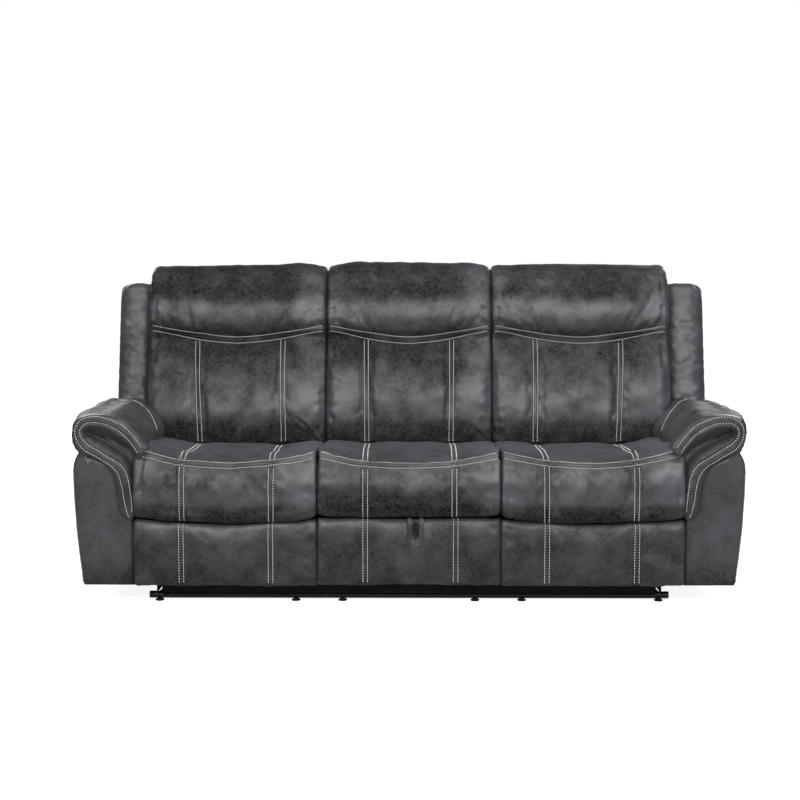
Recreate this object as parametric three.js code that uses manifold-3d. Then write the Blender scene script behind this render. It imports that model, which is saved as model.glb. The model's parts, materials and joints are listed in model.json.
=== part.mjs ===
// Three seat reclining sofa: two reclining end seats, a fixed middle seat over a drawer,
// padded scroll arms and a low tube base. Millimetres, X to the right, Y to the rear, Z up.
// Left is the side of negative X. The origin is on the floor under the middle of the sofa.
import * as THREE from 'three';
import * as BufferGeometryUtils from 'three/addons/utils/BufferGeometryUtils.js';
import Module from 'manifold-3d';

const wasm = await Module();
wasm.setup();

// Overall size and seat bays
const overallWidth = 2160;
const overallDepth = 970;
const overallHeight = 1098;
const bayPitch = 583.4;
const bayGap = 3.4;
const bayHalf = (bayPitch - bayGap) / 2;
const seat = 0.3;
const frontY = -overallDepth / 2;
const rearY = overallDepth / 2;
const armHalf = overallWidth / 2;
const armInnerX = 1.5 * bayPitch;

// Base
const glideHeight = 7.7;
const glideRadius = 14;
const glideNeckRadius = 8;
const glideRimHeight = 4.5;
const tubeRadius = 11.5;
const tubeLength = 1690;
const frontTubeInset = 129;
const frontTubeY = frontY + frontTubeInset;
const rearTubeInset = 195;
const rearTubeY = rearY - rearTubeInset;
const frontBarHalf = 800;
const frontBarThickness = 12;
const frontBarTop = 62;
const glideInset = 32;
const glidePairGap = 152;
const tubeZ = glideHeight + seat + tubeRadius;
const tubeTop = tubeZ + tubeRadius;

// Steel recliner rails
const railX = 232;
const railThickness = 4;
const railFlangeWidth = 18;
const railFrontInset = 113;
const railFrontY = frontY + railFrontInset;
const railRearInset = 153.6;
const railRearY = rearY - railRearInset;
const railTop = 239.3;
const railFlangeHeight = 3;
const armTabFrontY = -180;
const armTabRearY = 80;
const armTabZ = 140;
const armTabHeight = 6;

// Seat decks
const deckHalf = 255;
const deckTop = 314.7;
const deckThickness = 12;
const deckFrontInset = 155;
const deckFrontY = frontY + deckFrontInset;
const deckRearInset = 425;
const deckRearY = rearY - deckRearInset;
const flangeX = 239;
const flangeThickness = 4;
const flangeRearInset = 263;
const flangeRearY = rearY - flangeRearInset;
const lugHalf = 18;

// Back pivot, back lean and how far the seat glides
const backPivotInset = 285;
const backPivotY = rearY - backPivotInset;
const backPivotZ = 360;
const pivotPinRadius = 6;
const pinClearance = 0.4;
const backFootInset = 295;
const backFootY = rearY - backFootInset;
const backFootZ = 400;
const backLean = THREE.MathUtils.degToRad(14);

// Footrest chain of three equal links a side
const driveInset = 240;
const driveY = frontY + driveInset;
const driveZ = 252;
const driveTubeRadius = 8;
const linkLength = 190;
const linkHalf = 12;
const linkThickness = 4;
const linkGap = 1;
const linkX = 258;
const linkPinRadius = 5;
const chainAngle = THREE.MathUtils.degToRad(170);
const foldedAngle = THREE.MathUtils.degToRad(78);

// Footrests and drawer front
const panelBottom = 75;
const panelTop = 284;
const panelFrontInset = 10;
const panelFrontY = frontY + panelFrontInset;
const boardRearInset = 72;
const boardRearY = frontY + boardRearInset;
const boardThickness = 12;
const boardHalf = 277;
const boardNeckHalf = 255;
const boardBottom = 85;
const boardTop = 250;
const boardNeckZ = 125;

// Soft seats
const seatCushionBottom = 284;
const seatCushionTop = 484;
const seatCushionRearInset = 410;
const seatCushionRearY = rearY - seatCushionRearInset;
const seatDrawIn = 24;
const seatChannelX = 144;
const channelHalf = 12;
const seatChannelDepth = 4;

// Soft backs, in the leaning frame of the back board
const backCushionBottom = 25;
const backCushionThickness = 198.6;
const backCushionOuterX = 925;
const backChannelX = 152;
const backDrawIn = 26;
const backChannelDepth = 5;
const backBoardThickness = 18;
const backBoardBottom = 20;
const backBoardTop = 630;
const backBoardInset = 6;
const backBoardOuterX = 1010;
const shellBottom = 24;
const shellTop = 632;
const wingThickness = 75;
const wingBottom = 26;
const wingTop = 628;
const wingGap = 2;
const backOuterX = 1064;
const shellDrawIn = 14;

// Arms
const armFrontInset = 45;
const armFrontY = frontY + armFrontInset;
const armRearInset = 85;
const armRearY = rearY - armRearInset;
const armBottom = 75;
const armBodyTop = 456;
const armSlopeFrontInset = 367;
const armSlopeFrontY = rearY - armSlopeFrontInset;
const armSlopeStartInset = 345;
const armSlopeStartY = rearY - armSlopeStartInset;
const armSlopeStartZ = 395;
const armSlopeEndZ = 240;
const armOuterBottomX = 1035;
const armOuterTopX = 1066;
const armPadTop = 614;
const armPadInnerEndInset = 471;
const armPadInnerEndY = rearY - armPadInnerEndInset;
const armPadEndX = 937;
const armPadRound = 18;
const armNotchZ = 440;
const scrollBottom = 268;
const scrollFrontInset = 19;
const scrollFrontY = frontY + scrollFrontInset;

// Release handle in the outer side of each arm
const handleY = -150;
const handleZ = 350;
const pocketLength = 130;
const pocketHeight = 70;
const pocketDepth = 42;
const paddleLength = 104;
const paddleHeight = 40;
const paddleClearance = 2;
const paddleInset = 4;
const paddleThickness = 7;
const paddlePinRadius = 3;
const paddlePinReach = 6;

// Rear apron
const apronThickness = 18;
const apronBottom = 78;
const apronTop = 330;
const apronInset = 2;

// Middle carcass and drawer
const carcassHalf = 262;
const carcassWall = 14;
const carcassFrontInset = 113;
const carcassFrontY = frontY + carcassFrontInset;
const ledgeTop = 90;
const ledgeHeight = 14;
const ledgeWidth = 16;
const drawerHalf = 245;
const drawerWall = 9;
const drawerBottomThickness = 7;
const drawerTop = 225;
const drawerRearY = -60;
const boardFrontTop = 262;

// Pull loop
const loopHalf = 23;
const loopStrap = 14;
const loopSlotTop = 262;
const loopTailThickness = 3;
const loopBottom = 205;
const loopThickness = 5;
const loopFrontInset = 3;
const loopFrontY = frontY + loopFrontInset;
const loopX = 21;

const overrun = 5;
const roundSides = 16;
const pinSides = 12;

// Materials
const finishes = {
  upholstery: { color: 0x4a4a4c, roughness: 0.7, metalness: 0 },
  strap: { color: 0x2c2c2e, roughness: 0.8, metalness: 0 },
  blackSteel: { color: 0x101011, roughness: 0.35, metalness: 0.8 },
  zincSteel: { color: 0x8b8d90, roughness: 0.45, metalness: 0.9 },
  plastic: { color: 0x141414, roughness: 0.5, metalness: 0 },
  plywood: { color: 0xb08d5f, roughness: 0.75, metalness: 0 },
};

const sofa = new THREE.Group();

function addMesh(name, geometry, finish, parent = sofa) {
  const mesh = new THREE.Mesh(geometry, new THREE.MeshStandardMaterial(finishes[finish]));
  mesh.name = name;
  parent.add(mesh);
  return mesh;
}

// Solids from boxes, rods and flat outlines

function box(fromX, toX, fromY, toY, fromZ, toZ) {
  const geometry = new THREE.BoxGeometry(toX - fromX, toY - fromY, toZ - fromZ);
  return geometry.translate((fromX + toX) / 2, (fromY + toY) / 2, (fromZ + toZ) / 2);
}

function rodX(y, z, radius, fromX, toX, sides) {
  const geometry = new THREE.CylinderGeometry(radius, radius, toX - fromX, sides);
  return geometry.rotateZ(Math.PI / 2).translate((fromX + toX) / 2, y, z);
}

function rodY(x, z, radius, fromY, toY, sides) {
  const geometry = new THREE.CylinderGeometry(radius, radius, toY - fromY, sides);
  return geometry.translate(x, (fromY + toY) / 2, z);
}

function ordered(a, b) {
  return a < b ? [a, b] : [b, a];
}

function outlineShape(points) {
  return new THREE.Shape(points.map(([a, b]) => new THREE.Vector2(a, b)));
}

// An outline in Y and Z, carried along X
function slabX(points, fromX, toX) {
  const settings = { depth: toX - fromX, bevelEnabled: false };
  const geometry = new THREE.ExtrudeGeometry(outlineShape(points), settings);
  const turn = new THREE.Matrix4().makeBasis(
    new THREE.Vector3(0, 1, 0), new THREE.Vector3(0, 0, 1), new THREE.Vector3(1, 0, 0));
  return geometry.applyMatrix4(turn).translate(fromX, 0, 0);
}

// An outline in X and Z, carried along Y
function slabY(points, fromY, toY) {
  const settings = { depth: toY - fromY, bevelEnabled: false };
  const geometry = new THREE.ExtrudeGeometry(outlineShape(points), settings);
  const turn = new THREE.Matrix4().makeBasis(
    new THREE.Vector3(1, 0, 0), new THREE.Vector3(0, 0, 1), new THREE.Vector3(0, -1, 0));
  return geometry.applyMatrix4(turn).translate(0, toY, 0);
}

function toSolid(geometry) {
  const bare = new THREE.BufferGeometry();
  bare.setAttribute('position', geometry.getAttribute('position'));
  bare.setIndex(geometry.index);
  const merged = BufferGeometryUtils.mergeVertices(bare);
  const vertProperties = new Float32Array(merged.getAttribute('position').array);
  const triVerts = new Uint32Array(merged.index.array);
  return new wasm.Manifold(new wasm.Mesh({ numProp: 3, vertProperties, triVerts }));
}

function toGeometry(solid) {
  const mesh = solid.getMesh();
  const geometry = new THREE.BufferGeometry();
  geometry.setAttribute('position', new THREE.Float32BufferAttribute(mesh.vertProperties, 3));
  geometry.setIndex(Array.from(mesh.triVerts));
  return geometry;
}

function combine(parts, cuts = []) {
  let solid = parts.map(toSolid).reduce((sum, part) => sum.add(part));
  for (const cut of cuts) solid = solid.subtract(toSolid(cut));
  return toGeometry(solid);
}

// Lofted solids

// Signed volume of an indexed mesh, to turn its faces outward
function signedVolume(points, faces) {
  return faces.reduce((sum, [a, b, c]) => {
    const [p, q, r] = [points[a], points[b], points[c]];
    return sum + p[0] * (q[1] * r[2] - q[2] * r[1]) + p[1] * (q[2] * r[0] - q[0] * r[2])
      + p[2] * (q[0] * r[1] - q[1] * r[0]);
  }, 0);
}

// A solid through closed rings of equal count; each end is a fan, or is cut into ears if asked
function loft(rings, earAxes = null) {
  const count = rings[0].length;
  const points = rings.flat();
  const faces = [];
  for (let ring = 0; ring < rings.length - 1; ring += 1) {
    for (let i = 0; i < count; i += 1) {
      const a = ring * count + i;
      const b = ring * count + (i + 1) % count;
      faces.push([a, b, b + count], [a, b + count, a + count]);
    }
  }
  for (const [ring, forward] of [[0, false], [rings.length - 1, true]]) {
    const base = ring * count;
    if (earAxes) {
      const flat = rings[ring].map((p) => new THREE.Vector2(p[earAxes[0]], p[earAxes[1]]));
      const ringArea = THREE.ShapeUtils.area(flat);
      for (const [a, b, c] of THREE.ShapeUtils.triangulateShape(flat, [])) {
        const along = THREE.ShapeUtils.area([flat[a], flat[b], flat[c]]) * ringArea > 0;
        const corners = along === forward ? [a, b, c] : [a, c, b];
        faces.push(corners.map((corner) => base + corner));
      }
    } else {
      const middle = [0, 1, 2].map((axis) => rings[ring].reduce((sum, p) => sum + p[axis], 0) / count);
      points.push(middle);
      for (let i = 0; i < count; i += 1) {
        const next = (i + 1) % count;
        const edge = forward ? [base + i, base + next] : [base + next, base + i];
        faces.push([...edge, points.length - 1]);
      }
    }
  }
  if (signedVolume(points, faces) < 0) faces.forEach((face) => face.reverse());
  const geometry = new THREE.BufferGeometry();
  geometry.setAttribute('position', new THREE.Float32BufferAttribute(points.flat(), 3));
  geometry.setIndex(faces.flat());
  return geometry;
}

// Where the rings of a stuffed form lie across its half width, and how far each is drawn in
const endShares = [[1, 1], [0.985, 0.56], [0.945, 0.22], [0.84, 0.05]];

// A stuffed form across X: an outline of [y, z, how far channels draw it in], drawn in at its
// ends and along sewn channels
function stuffed({ fromX, toX, outline, drawIn, channels = [], channelDepth = 0, flatZ = null }) {
  const centreX = (fromX + toX) / 2;
  const half = (toX - fromX) / 2;
  const ys = outline.map((p) => p[0]);
  const zs = outline.map((p) => p[1]);
  const centre = [(Math.min(...ys) + Math.max(...ys)) / 2, (Math.min(...zs) + Math.max(...zs)) / 2];
  const halfSize = [centre[0] - Math.min(...ys), centre[1] - Math.min(...zs)];
  const stations = endShares.flatMap(([share, inset]) => [
    { x: -share * half, inset: inset * drawIn, sewn: 0 },
    { x: share * half, inset: inset * drawIn, sewn: 0 }]);
  for (const channel of channels) {
    stations.push({ x: channel - channelHalf, inset: 0, sewn: 0 });
    stations.push({ x: channel, inset: 0, sewn: channelDepth });
    stations.push({ x: channel + channelHalf, inset: 0, sewn: 0 });
  }
  stations.push({ x: 0, inset: 0, sewn: 0 });
  stations.sort((a, b) => a.x - b.x);
  return loft(stations.map(({ x, inset, sewn }) => outline.map(([y, z, softShare]) => {
    const pull = inset + sewn * softShare;
    const drawnY = centre[0] + (y - centre[0]) * (1 - pull / halfSize[0]);
    const drawnZ = centre[1] + (z - centre[1]) * (1 - pull / halfSize[1]);
    return [centreX + x, drawnY, flatZ === null ? drawnZ : Math.max(drawnZ, flatZ)];
  })));
}

// Outlines of the soft pieces, as shares of their depth and height

// Seat cushion: depth from the front, height from the bottom
const seatOutlineShares = [
  [0.17, 0.155, 0], [0.161, 0.11, 0], [0.098, 0.065, 0], [0.05, 0.06, 0.5], [0.014, 0.16, 1],
  [0, 0.39, 1], [0.009, 0.62, 1], [0.041, 0.81, 1], [0.095, 0.92, 1], [0.17, 0.97, 1],
  [0.33, 1, 1], [0.545, 0.99, 1], [0.76, 0.95, 1], [0.9, 0.89, 1], [0.973, 0.8, 0.5],
  [1, 0.63, 0], [0.995, 0.33, 0], [0.955, 0.155, 0],
];

// Back cushion: depth forward from the board, height from the bottom
const backOutlineShares = [
  [0.2, 0.012, 0], [0.53, 0.003, 0], [0.7, 0, 0], [0.81, 0.026, 0.5], [0.889, 0.082, 1],
  [0.967, 0.201, 1], [0.976, 0.325, 1], [0.944, 0.436, 1], [0.876, 0.529, 0.6],
  [0.875, 0.566, 0], [0.937, 0.602, 0], [0.99, 0.666, 0], [1, 0.759, 0], [0.961, 0.855, 0],
  [0.86, 0.934, 0], [0.682, 0.982, 0], [0.488, 1, 0], [0.286, 0.992, 0], [0.146, 0.962, 0],
  [0.04, 0.92, 0], [0, 0.87, 0], [0, 0.5, 0], [0, 0.05, 0],
];

// Footrest and drawer pads: depth from the front, height from the bottom
const panelOutlineShares = [
  [1, 0.06, 0], [0.8, 0.01, 0], [0.4, 0, 0.5], [0.12, 0.05, 1], [0, 0.2, 1], [0.02, 0.5, 1],
  [0, 0.8, 1], [0.08, 0.93, 1], [0.3, 1, 0.5], [0.62, 0.985, 0], [0.85, 0.93, 0], [1, 0.84, 0],
];

// Back shell: depth to the rear from the board, height from the bottom
const shellOutlineShares = [
  [0, 0], [0.45, 0], [0.62, 0.02], [0.7, 0.08], [0.86, 0.5], [0.98, 0.88], [1, 0.94],
  [0.93, 0.985], [0.72, 1], [0.3, 1], [0, 0.985], [0, 0.5],
];

// Wing beside the back cushion: depth forward from the board, height from the bottom
const wingOutlineShares = [
  [0, 0], [0.55, 0], [0.86, 0.012], [1, 0.05], [1, 0.5], [1, 0.9], [0.9, 0.965], [0.62, 1],
  [0.25, 1], [0, 0.985], [0, 0.5],
];

// The depth share where an outline's height is full, and the height share where its depth is full
const backCrownShare = backOutlineShares.find((row) => row[1] === 1)[0];
const shellFullShare = shellOutlineShares.find((row) => row[0] === 1)[1];

// The cushion's height along the lean, so that its crown reaches the overall height
const crownForward = backCrownShare * backCushionThickness;
const backCushionHeight = (overallHeight - backFootZ - crownForward * Math.sin(backLean))
  / Math.cos(backLean) - backCushionBottom;

// The shell's depth, so that its fullest part reaches the rear of the sofa
const shellReachHeight = shellBottom + shellFullShare * (shellTop - shellBottom);
const shellDepth = (rearY - backFootY - shellReachHeight * Math.sin(backLean)) / Math.cos(backLean)
  - backBoardThickness - 2 * seat;

function scaled(shares, originY, signedDepth, bottomZ, height) {
  return shares.map(([depthShare, heightShare, soft = 0]) => [
    originY + depthShare * signedDepth, bottomZ + heightShare * height, soft]);
}

// Base of two tubes on round glides

const tubeHalf = tubeLength / 2;

function glide(x, y) {
  const profile = [[0, 0], [glideRadius, 0], [glideRadius, glideRimHeight], [glideNeckRadius, glideRimHeight],
    [glideNeckRadius, glideHeight], [0, glideHeight]];
  const geometry = new THREE.LatheGeometry(profile.map(([r, z]) => new THREE.Vector2(r, z)), roundSides);
  return geometry.rotateX(Math.PI / 2).translate(x, y, 0);
}

function buildBase() {
  for (const [name, y] of [['base_tube_front', frontTubeY], ['base_tube_rear', rearTubeY]]) {
    addMesh(name, rodX(y, tubeZ, tubeRadius, -tubeHalf, tubeHalf, 2 * pinSides), 'blackSteel');
  }
  const outerX = tubeHalf - glideInset;
  const innerX = bayPitch / 2 + glidePairGap / 2;
  const middleX = bayPitch / 2 - glidePairGap / 2;
  [-outerX, -innerX, -middleX, middleX, innerX, outerX].forEach((x, index) => {
    addMesh(`glide_front_${index + 1}`, glide(x, frontTubeY), 'plastic');
  });
  [-outerX, outerX].forEach((x, index) => {
    addMesh(`glide_rear_${index + 1}`, glide(x, rearTubeY), 'plastic');
  });
  const barRearY = railFrontY - seat;
  addMesh('base_front_bar', box(-frontBarHalf, frontBarHalf, barRearY - frontBarThickness, barRearY,
    tubeTop + seat, frontBarTop), 'blackSteel');
}

// Steel rails that stand on the tubes and carry the seats; the outer two also hold the arms

function buildRail(name, bayX, sign, holdsArm) {
  const plateTop = railTop - railFlangeHeight / 2;
  const inPlate = railX + railThickness / 2;
  const parts = [
    box(...ordered(bayX + sign * railX, bayX + sign * (railX + railThickness)), railFrontY, railRearY,
      tubeTop + seat, plateTop),
    box(...ordered(bayX + sign * inPlate, bayX + sign * (railX + railFlangeWidth)),
      railFrontY + railFlangeHeight, railRearY - railFlangeHeight, railTop - railFlangeHeight, railTop)];
  if (holdsArm) {
    parts.push(box(...ordered(bayX + sign * inPlate, sign * (armInnerX - seat)), armTabFrontY, armTabRearY,
      armTabZ, armTabZ + armTabHeight));
  }
  addMesh(name, combine(parts), 'blackSteel');
}

// Points along the footrest chain at rest, in Y and Z

function chainPoint(from, angle) {
  return [from[0] + linkLength * Math.cos(angle), from[1] + linkLength * Math.sin(angle)];
}

const chainStart = [driveY, driveZ];
const chainKnee = chainPoint(chainStart, chainAngle + foldedAngle);
const chainTop = chainPoint(chainKnee, chainAngle - foldedAngle);
const chainEnd = chainPoint(chainTop, chainAngle + foldedAngle);

// A flat link with round ends between two points, as an outline in Y and Z
function linkOutline(from, to, half) {
  const angle = Math.atan2(to[1] - from[1], to[0] - from[0]);
  const arcSteps = pinSides / 2;
  const points = [];
  for (const [centre, start] of [[to, angle - Math.PI / 2], [from, angle + Math.PI / 2]]) {
    for (let i = 0; i <= arcSteps; i += 1) {
      const turn = start + (Math.PI * i) / arcSteps;
      points.push([centre[0] + half * Math.cos(turn), centre[1] + half * Math.sin(turn)]);
    }
  }
  return points;
}

// The X range of layer 0 to 3 of a chain: drive link, middle link, front link, footrest ear
function layerRange(bayX, sign, layer, reachLayers = 0) {
  const near = linkX + layer * (linkThickness + linkGap);
  const far = near + linkThickness + reachLayers * (linkThickness + linkGap);
  return sign > 0 ? [bayX + near, bayX + far] : [bayX - far, bayX - near];
}

function linkWithPin(bayX, sign, layer, from, to) {
  const body = slabX(linkOutline(from, to, linkHalf), ...layerRange(bayX, sign, layer));
  const pin = rodX(to[0], to[1], linkPinRadius, ...layerRange(bayX, sign, layer, 1), pinSides);
  return [body, pin];
}

function pinHole(bayX, sign, layer, at) {
  const [fromX, toX] = layerRange(bayX, sign, layer);
  return rodX(at[0], at[1], linkPinRadius + pinClearance, fromX - linkGap / 2, toX + linkGap / 2, pinSides);
}

function buildChain(prefix, bayX) {
  const tubeReach = linkX + linkThickness / 2;
  const drive = [rodX(driveY, driveZ, driveTubeRadius, bayX - tubeReach, bayX + tubeReach, roundSides)];
  for (const sign of [-1, 1]) drive.push(...linkWithPin(bayX, sign, 0, chainStart, chainKnee));
  addMesh(`${prefix}_drive_link`, combine(drive), 'zincSteel');
  for (const [end, sign] of [['left', -1], ['right', 1]]) {
    addMesh(`${prefix}_middle_link_${end}`,
      combine(linkWithPin(bayX, sign, 1, chainKnee, chainTop), [pinHole(bayX, sign, 1, chainKnee)]),
      'zincSteel');
    addMesh(`${prefix}_front_link_${end}`,
      combine(linkWithPin(bayX, sign, 2, chainTop, chainEnd), [pinHole(bayX, sign, 2, chainTop)]),
      'zincSteel');
  }
}

function buildFootrest(prefix, bayX) {
  const boardFrontY = boardRearY - boardThickness;
  const outline = [
    [bayX - boardHalf, boardBottom], [bayX + boardHalf, boardBottom], [bayX + boardHalf, boardNeckZ],
    [bayX + boardNeckHalf, boardNeckZ], [bayX + boardNeckHalf, boardTop],
    [bayX - boardNeckHalf, boardTop], [bayX - boardNeckHalf, boardNeckZ], [bayX - boardHalf, boardNeckZ]];
  const parts = [slabY(outline, boardFrontY, boardRearY)];
  const holes = [];
  const earFront = [boardFrontY + linkHalf + seat, chainEnd[1]];
  for (const sign of [-1, 1]) {
    parts.push(slabX(linkOutline(earFront, chainEnd, linkHalf), ...layerRange(bayX, sign, 3)));
    holes.push(pinHole(bayX, sign, 3, chainEnd));
  }
  addMesh(`${prefix}_footrest_board`, combine(parts, holes), 'zincSteel');
  buildPanelPad(`${prefix}_footrest_pad`, bayX);
}

function buildPanelPad(name, bayX) {
  const depth = boardRearY - boardThickness - seat - panelFrontY;
  addMesh(name, stuffed({
    fromX: bayX - bayHalf, toX: bayX + bayHalf,
    outline: scaled(panelOutlineShares, panelFrontY, depth, panelBottom, panelTop - panelBottom),
    drawIn: seatDrawIn / 3, channels: [-seatChannelX, seatChannelX], channelDepth: seatChannelDepth,
  }), 'upholstery');
}

function buildSeatCushion(name, bayX) {
  addMesh(name, stuffed({
    fromX: bayX - bayHalf, toX: bayX + bayHalf,
    outline: scaled(seatOutlineShares, frontY, seatCushionRearY - frontY, seatCushionBottom,
      seatCushionTop - seatCushionBottom),
    drawIn: seatDrawIn, channels: [-seatChannelX, seatChannelX], channelDepth: seatChannelDepth,
  }), 'upholstery');
}

// Steel seat deck with side flanges that glide on the rails and carry the back's pivots

function buildSeatDeck(name, bayX) {
  const railClear = railTop + seat;
  const flange = [
    [deckFrontY, railClear], [flangeRearY, railClear], [flangeRearY, backPivotZ],
    [backPivotY + lugHalf / 2, backPivotZ + lugHalf], [backPivotY - lugHalf / 2, backPivotZ + lugHalf],
    [backPivotY - lugHalf, backPivotZ], [backPivotY - lugHalf - lugHalf, deckTop],
    [deckFrontY, deckTop]];
  const deckBottom = deckTop - deckThickness;
  const parts = [box(bayX - deckHalf, bayX + deckHalf, deckFrontY, deckRearY, deckBottom, deckTop)];
  const holes = [];
  for (const sign of [-1, 1]) {
    const [fromX, toX] = ordered(bayX + sign * flangeX, bayX + sign * (flangeX + flangeThickness));
    parts.push(slabX(flange, fromX, toX));
    const [holeFrom, holeTo] = [fromX - overrun, toX + overrun];
    holes.push(rodX(driveY, driveZ, driveTubeRadius + pinClearance, holeFrom, holeTo, roundSides));
    holes.push(rodX(backPivotY, backPivotZ, pivotPinRadius + pinClearance, holeFrom, holeTo, pinSides));
  }
  addMesh(name, combine(parts, holes), 'zincSteel');
}

// Everything in a back is drawn in the board's own leaning frame

const backGroup = new THREE.Group();
backGroup.position.set(0, backFootY, backFootZ);
backGroup.rotation.x = -backLean;
sofa.add(backGroup);

// A point of the side view, carried into the leaning frame
function leaning(y, z) {
  const [dy, dz] = [y - backFootY, z - backFootZ];
  const [across, up] = [Math.cos(backLean), Math.sin(backLean)];
  return [dy * across - dz * up, dy * up + dz * across];
}

function buildBackBody(prefix, innerX, cushionOuterX, boardOuterX, outerX) {
  const [cushionFrom, cushionTo] = ordered(innerX, cushionOuterX);
  const outward = Math.sign(outerX - innerX);
  addMesh(`${prefix}_back_cushion`, stuffed({
    fromX: cushionFrom, toX: cushionTo,
    outline: scaled(backOutlineShares, 0, -backCushionThickness, backCushionBottom, backCushionHeight),
    drawIn: backDrawIn, channels: [-backChannelX, backChannelX], channelDepth: backChannelDepth,
  }), 'upholstery', backGroup);
  const [shellFrom, shellTo] = ordered(innerX, outerX);
  addMesh(`${prefix}_back_shell`, stuffed({
    fromX: shellFrom, toX: shellTo,
    outline: scaled(shellOutlineShares, backBoardThickness + 2 * seat, shellDepth, shellBottom,
      shellTop - shellBottom),
    drawIn: shellDrawIn,
  }), 'upholstery', backGroup);
  const boardFrom = innerX + outward * backBoardInset;
  return ordered(boardFrom, boardOuterX);
}

function buildRecliningBack(prefix, sign) {
  const innerX = sign * (bayPitch / 2 + bayGap / 2);
  const [boardFrom, boardTo] = buildBackBody(prefix, innerX, sign * backCushionOuterX, sign * backBoardOuterX,
    sign * backOuterX);
  addMesh(`${prefix}_back_board`, box(boardFrom, boardTo, seat, seat + backBoardThickness, backBoardBottom,
    backBoardTop), 'plywood', backGroup);
  const [wingFrom, wingTo] = ordered(sign * (backCushionOuterX + wingGap), sign * backOuterX);
  addMesh(`${prefix}_back_wing`, stuffed({
    fromX: wingFrom, toX: wingTo,
    outline: scaled(wingOutlineShares, 0, -wingThickness, wingBottom, wingTop - wingBottom),
    drawIn: shellDrawIn,
  }), 'upholstery', backGroup);
  buildBackBracket(`${prefix}_back_bracket`, sign * bayPitch);
}

// Steel bracket under the board, with a pin on each side that turns in the seat deck

function buildBackBracket(name, bayX) {
  const plateNear = flangeX + flangeThickness + linkGap;
  const plateFar = plateNear + flangeThickness;
  const [pivotY, pivotZ] = leaning(backPivotY, backPivotZ);
  const crossTop = backBoardBottom - seat;
  const crossBottom = crossTop - deckThickness;
  const crossRear = seat + backBoardThickness;
  const parts = [box(bayX - plateFar, bayX + plateFar, seat, crossRear, crossBottom, crossTop)];
  for (const sign of [-1, 1]) {
    const [fromX, toX] = ordered(bayX + sign * plateNear, bayX + sign * plateFar);
    const top = [pivotY - lugHalf / 2, crossTop - lugHalf / 2];
    parts.push(slabX(linkOutline([pivotY, pivotZ], top, lugHalf / 2), fromX, toX));
    const [pinFrom, pinTo] = ordered(bayX + sign * (flangeX - linkGap), bayX + sign * plateFar);
    parts.push(rodX(pivotY, pivotZ, pivotPinRadius, pinFrom, pinTo, pinSides));
  }
  addMesh(name, combine(parts), 'blackSteel', backGroup);
}

// The middle back is fixed: its board stands on two legs on the carcass

function buildMiddleBack() {
  const [boardFrom, boardTo] = buildBackBody('middle', -bayHalf, bayHalf, bayHalf - backBoardInset, bayHalf);
  const rearFace = seat + backBoardThickness;
  const legBottom = (deckTop + seat - backFootZ + rearFace * Math.sin(backLean)) / Math.cos(backLean);
  const legInner = boardTo - carcassHalf / 4;
  const outline = [
    [boardFrom, legBottom], [-legInner, legBottom], [-legInner, backBoardBottom], [legInner, backBoardBottom],
    [legInner, legBottom], [boardTo, legBottom], [boardTo, backBoardTop], [boardFrom, backBoardTop]];
  addMesh('middle_back_board', slabY(outline, seat, rearFace), 'plywood', backGroup);
}

// Middle carcass: two sides and a top, with ledges that the drawer slides on

function buildMiddleBay() {
  const bottom = tubeTop + seat;
  const inner = carcassHalf - carcassWall;
  const deckBottom = deckTop - carcassWall;
  const halfOutline = [
    [carcassHalf, bottom], [carcassHalf, deckTop], [-carcassHalf, deckTop], [-carcassHalf, bottom],
    [-inner, bottom], [-inner, ledgeTop - ledgeHeight], [-inner + ledgeWidth, ledgeTop - ledgeHeight],
    [-inner + ledgeWidth, ledgeTop], [-inner, ledgeTop], [-inner, deckBottom], [inner, deckBottom],
    [inner, ledgeTop], [inner - ledgeWidth, ledgeTop], [inner - ledgeWidth, ledgeTop - ledgeHeight],
    [inner, ledgeTop - ledgeHeight], [inner, bottom]];
  addMesh('middle_carcass', slabY(halfOutline, carcassFrontY, railRearY), 'plywood');
  buildSeatCushion('middle_seat_cushion', 0);

  const boardFrontY = boardRearY - boardThickness;
  const floor = ledgeTop + seat;
  const drawerParts = [
    box(-boardHalf, boardHalf, boardFrontY, boardRearY, boardBottom, boardFrontTop),
    box(-drawerHalf, drawerHalf, boardRearY - overrun, drawerRearY, floor, drawerTop)];
  const hollow = box(-drawerHalf + drawerWall, drawerHalf - drawerWall, boardRearY, drawerRearY - drawerWall,
    floor + drawerBottomThickness, drawerTop + overrun);
  addMesh('drawer_box', combine(drawerParts, [hollow]), 'plywood');
  buildPanelPad('drawer_front_pad', 0);
  buildPullLoop();
}

// A strap loop that hangs over the top of the drawer front

function buildPullLoop() {
  const bend = loopHalf - loopStrap;
  const arcSteps = pinSides;
  const outer = [];
  const inner = [];
  for (let i = 0; i <= arcSteps; i += 1) {
    const turn = Math.PI + (Math.PI * i) / arcSteps;
    outer.push([loopX + loopHalf * Math.cos(turn), loopBottom + loopHalf + loopHalf * Math.sin(turn)]);
    inner.push([loopX + bend * Math.cos(turn), loopBottom + loopHalf + bend * Math.sin(turn)]);
  }
  const tailTop = panelTop + seat + loopTailThickness;
  const outline = [...outer, [loopX + loopHalf, tailTop], [loopX - loopHalf, tailTop]];
  const hole = [...inner, [loopX + bend, loopSlotTop], [loopX - bend, loopSlotTop]];
  const tail = box(loopX - loopStrap, loopX + loopStrap, loopFrontY + loopThickness / 2,
    boardRearY - boardThickness, panelTop + seat, tailTop);
  const loop = combine([slabY(outline, loopFrontY, loopFrontY + loopThickness), tail],
    [slabY(hole, loopFrontY - overrun, loopFrontY + loopThickness + overrun)]);
  addMesh('drawer_pull_loop', loop, 'strap');
}

// Arms

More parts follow.
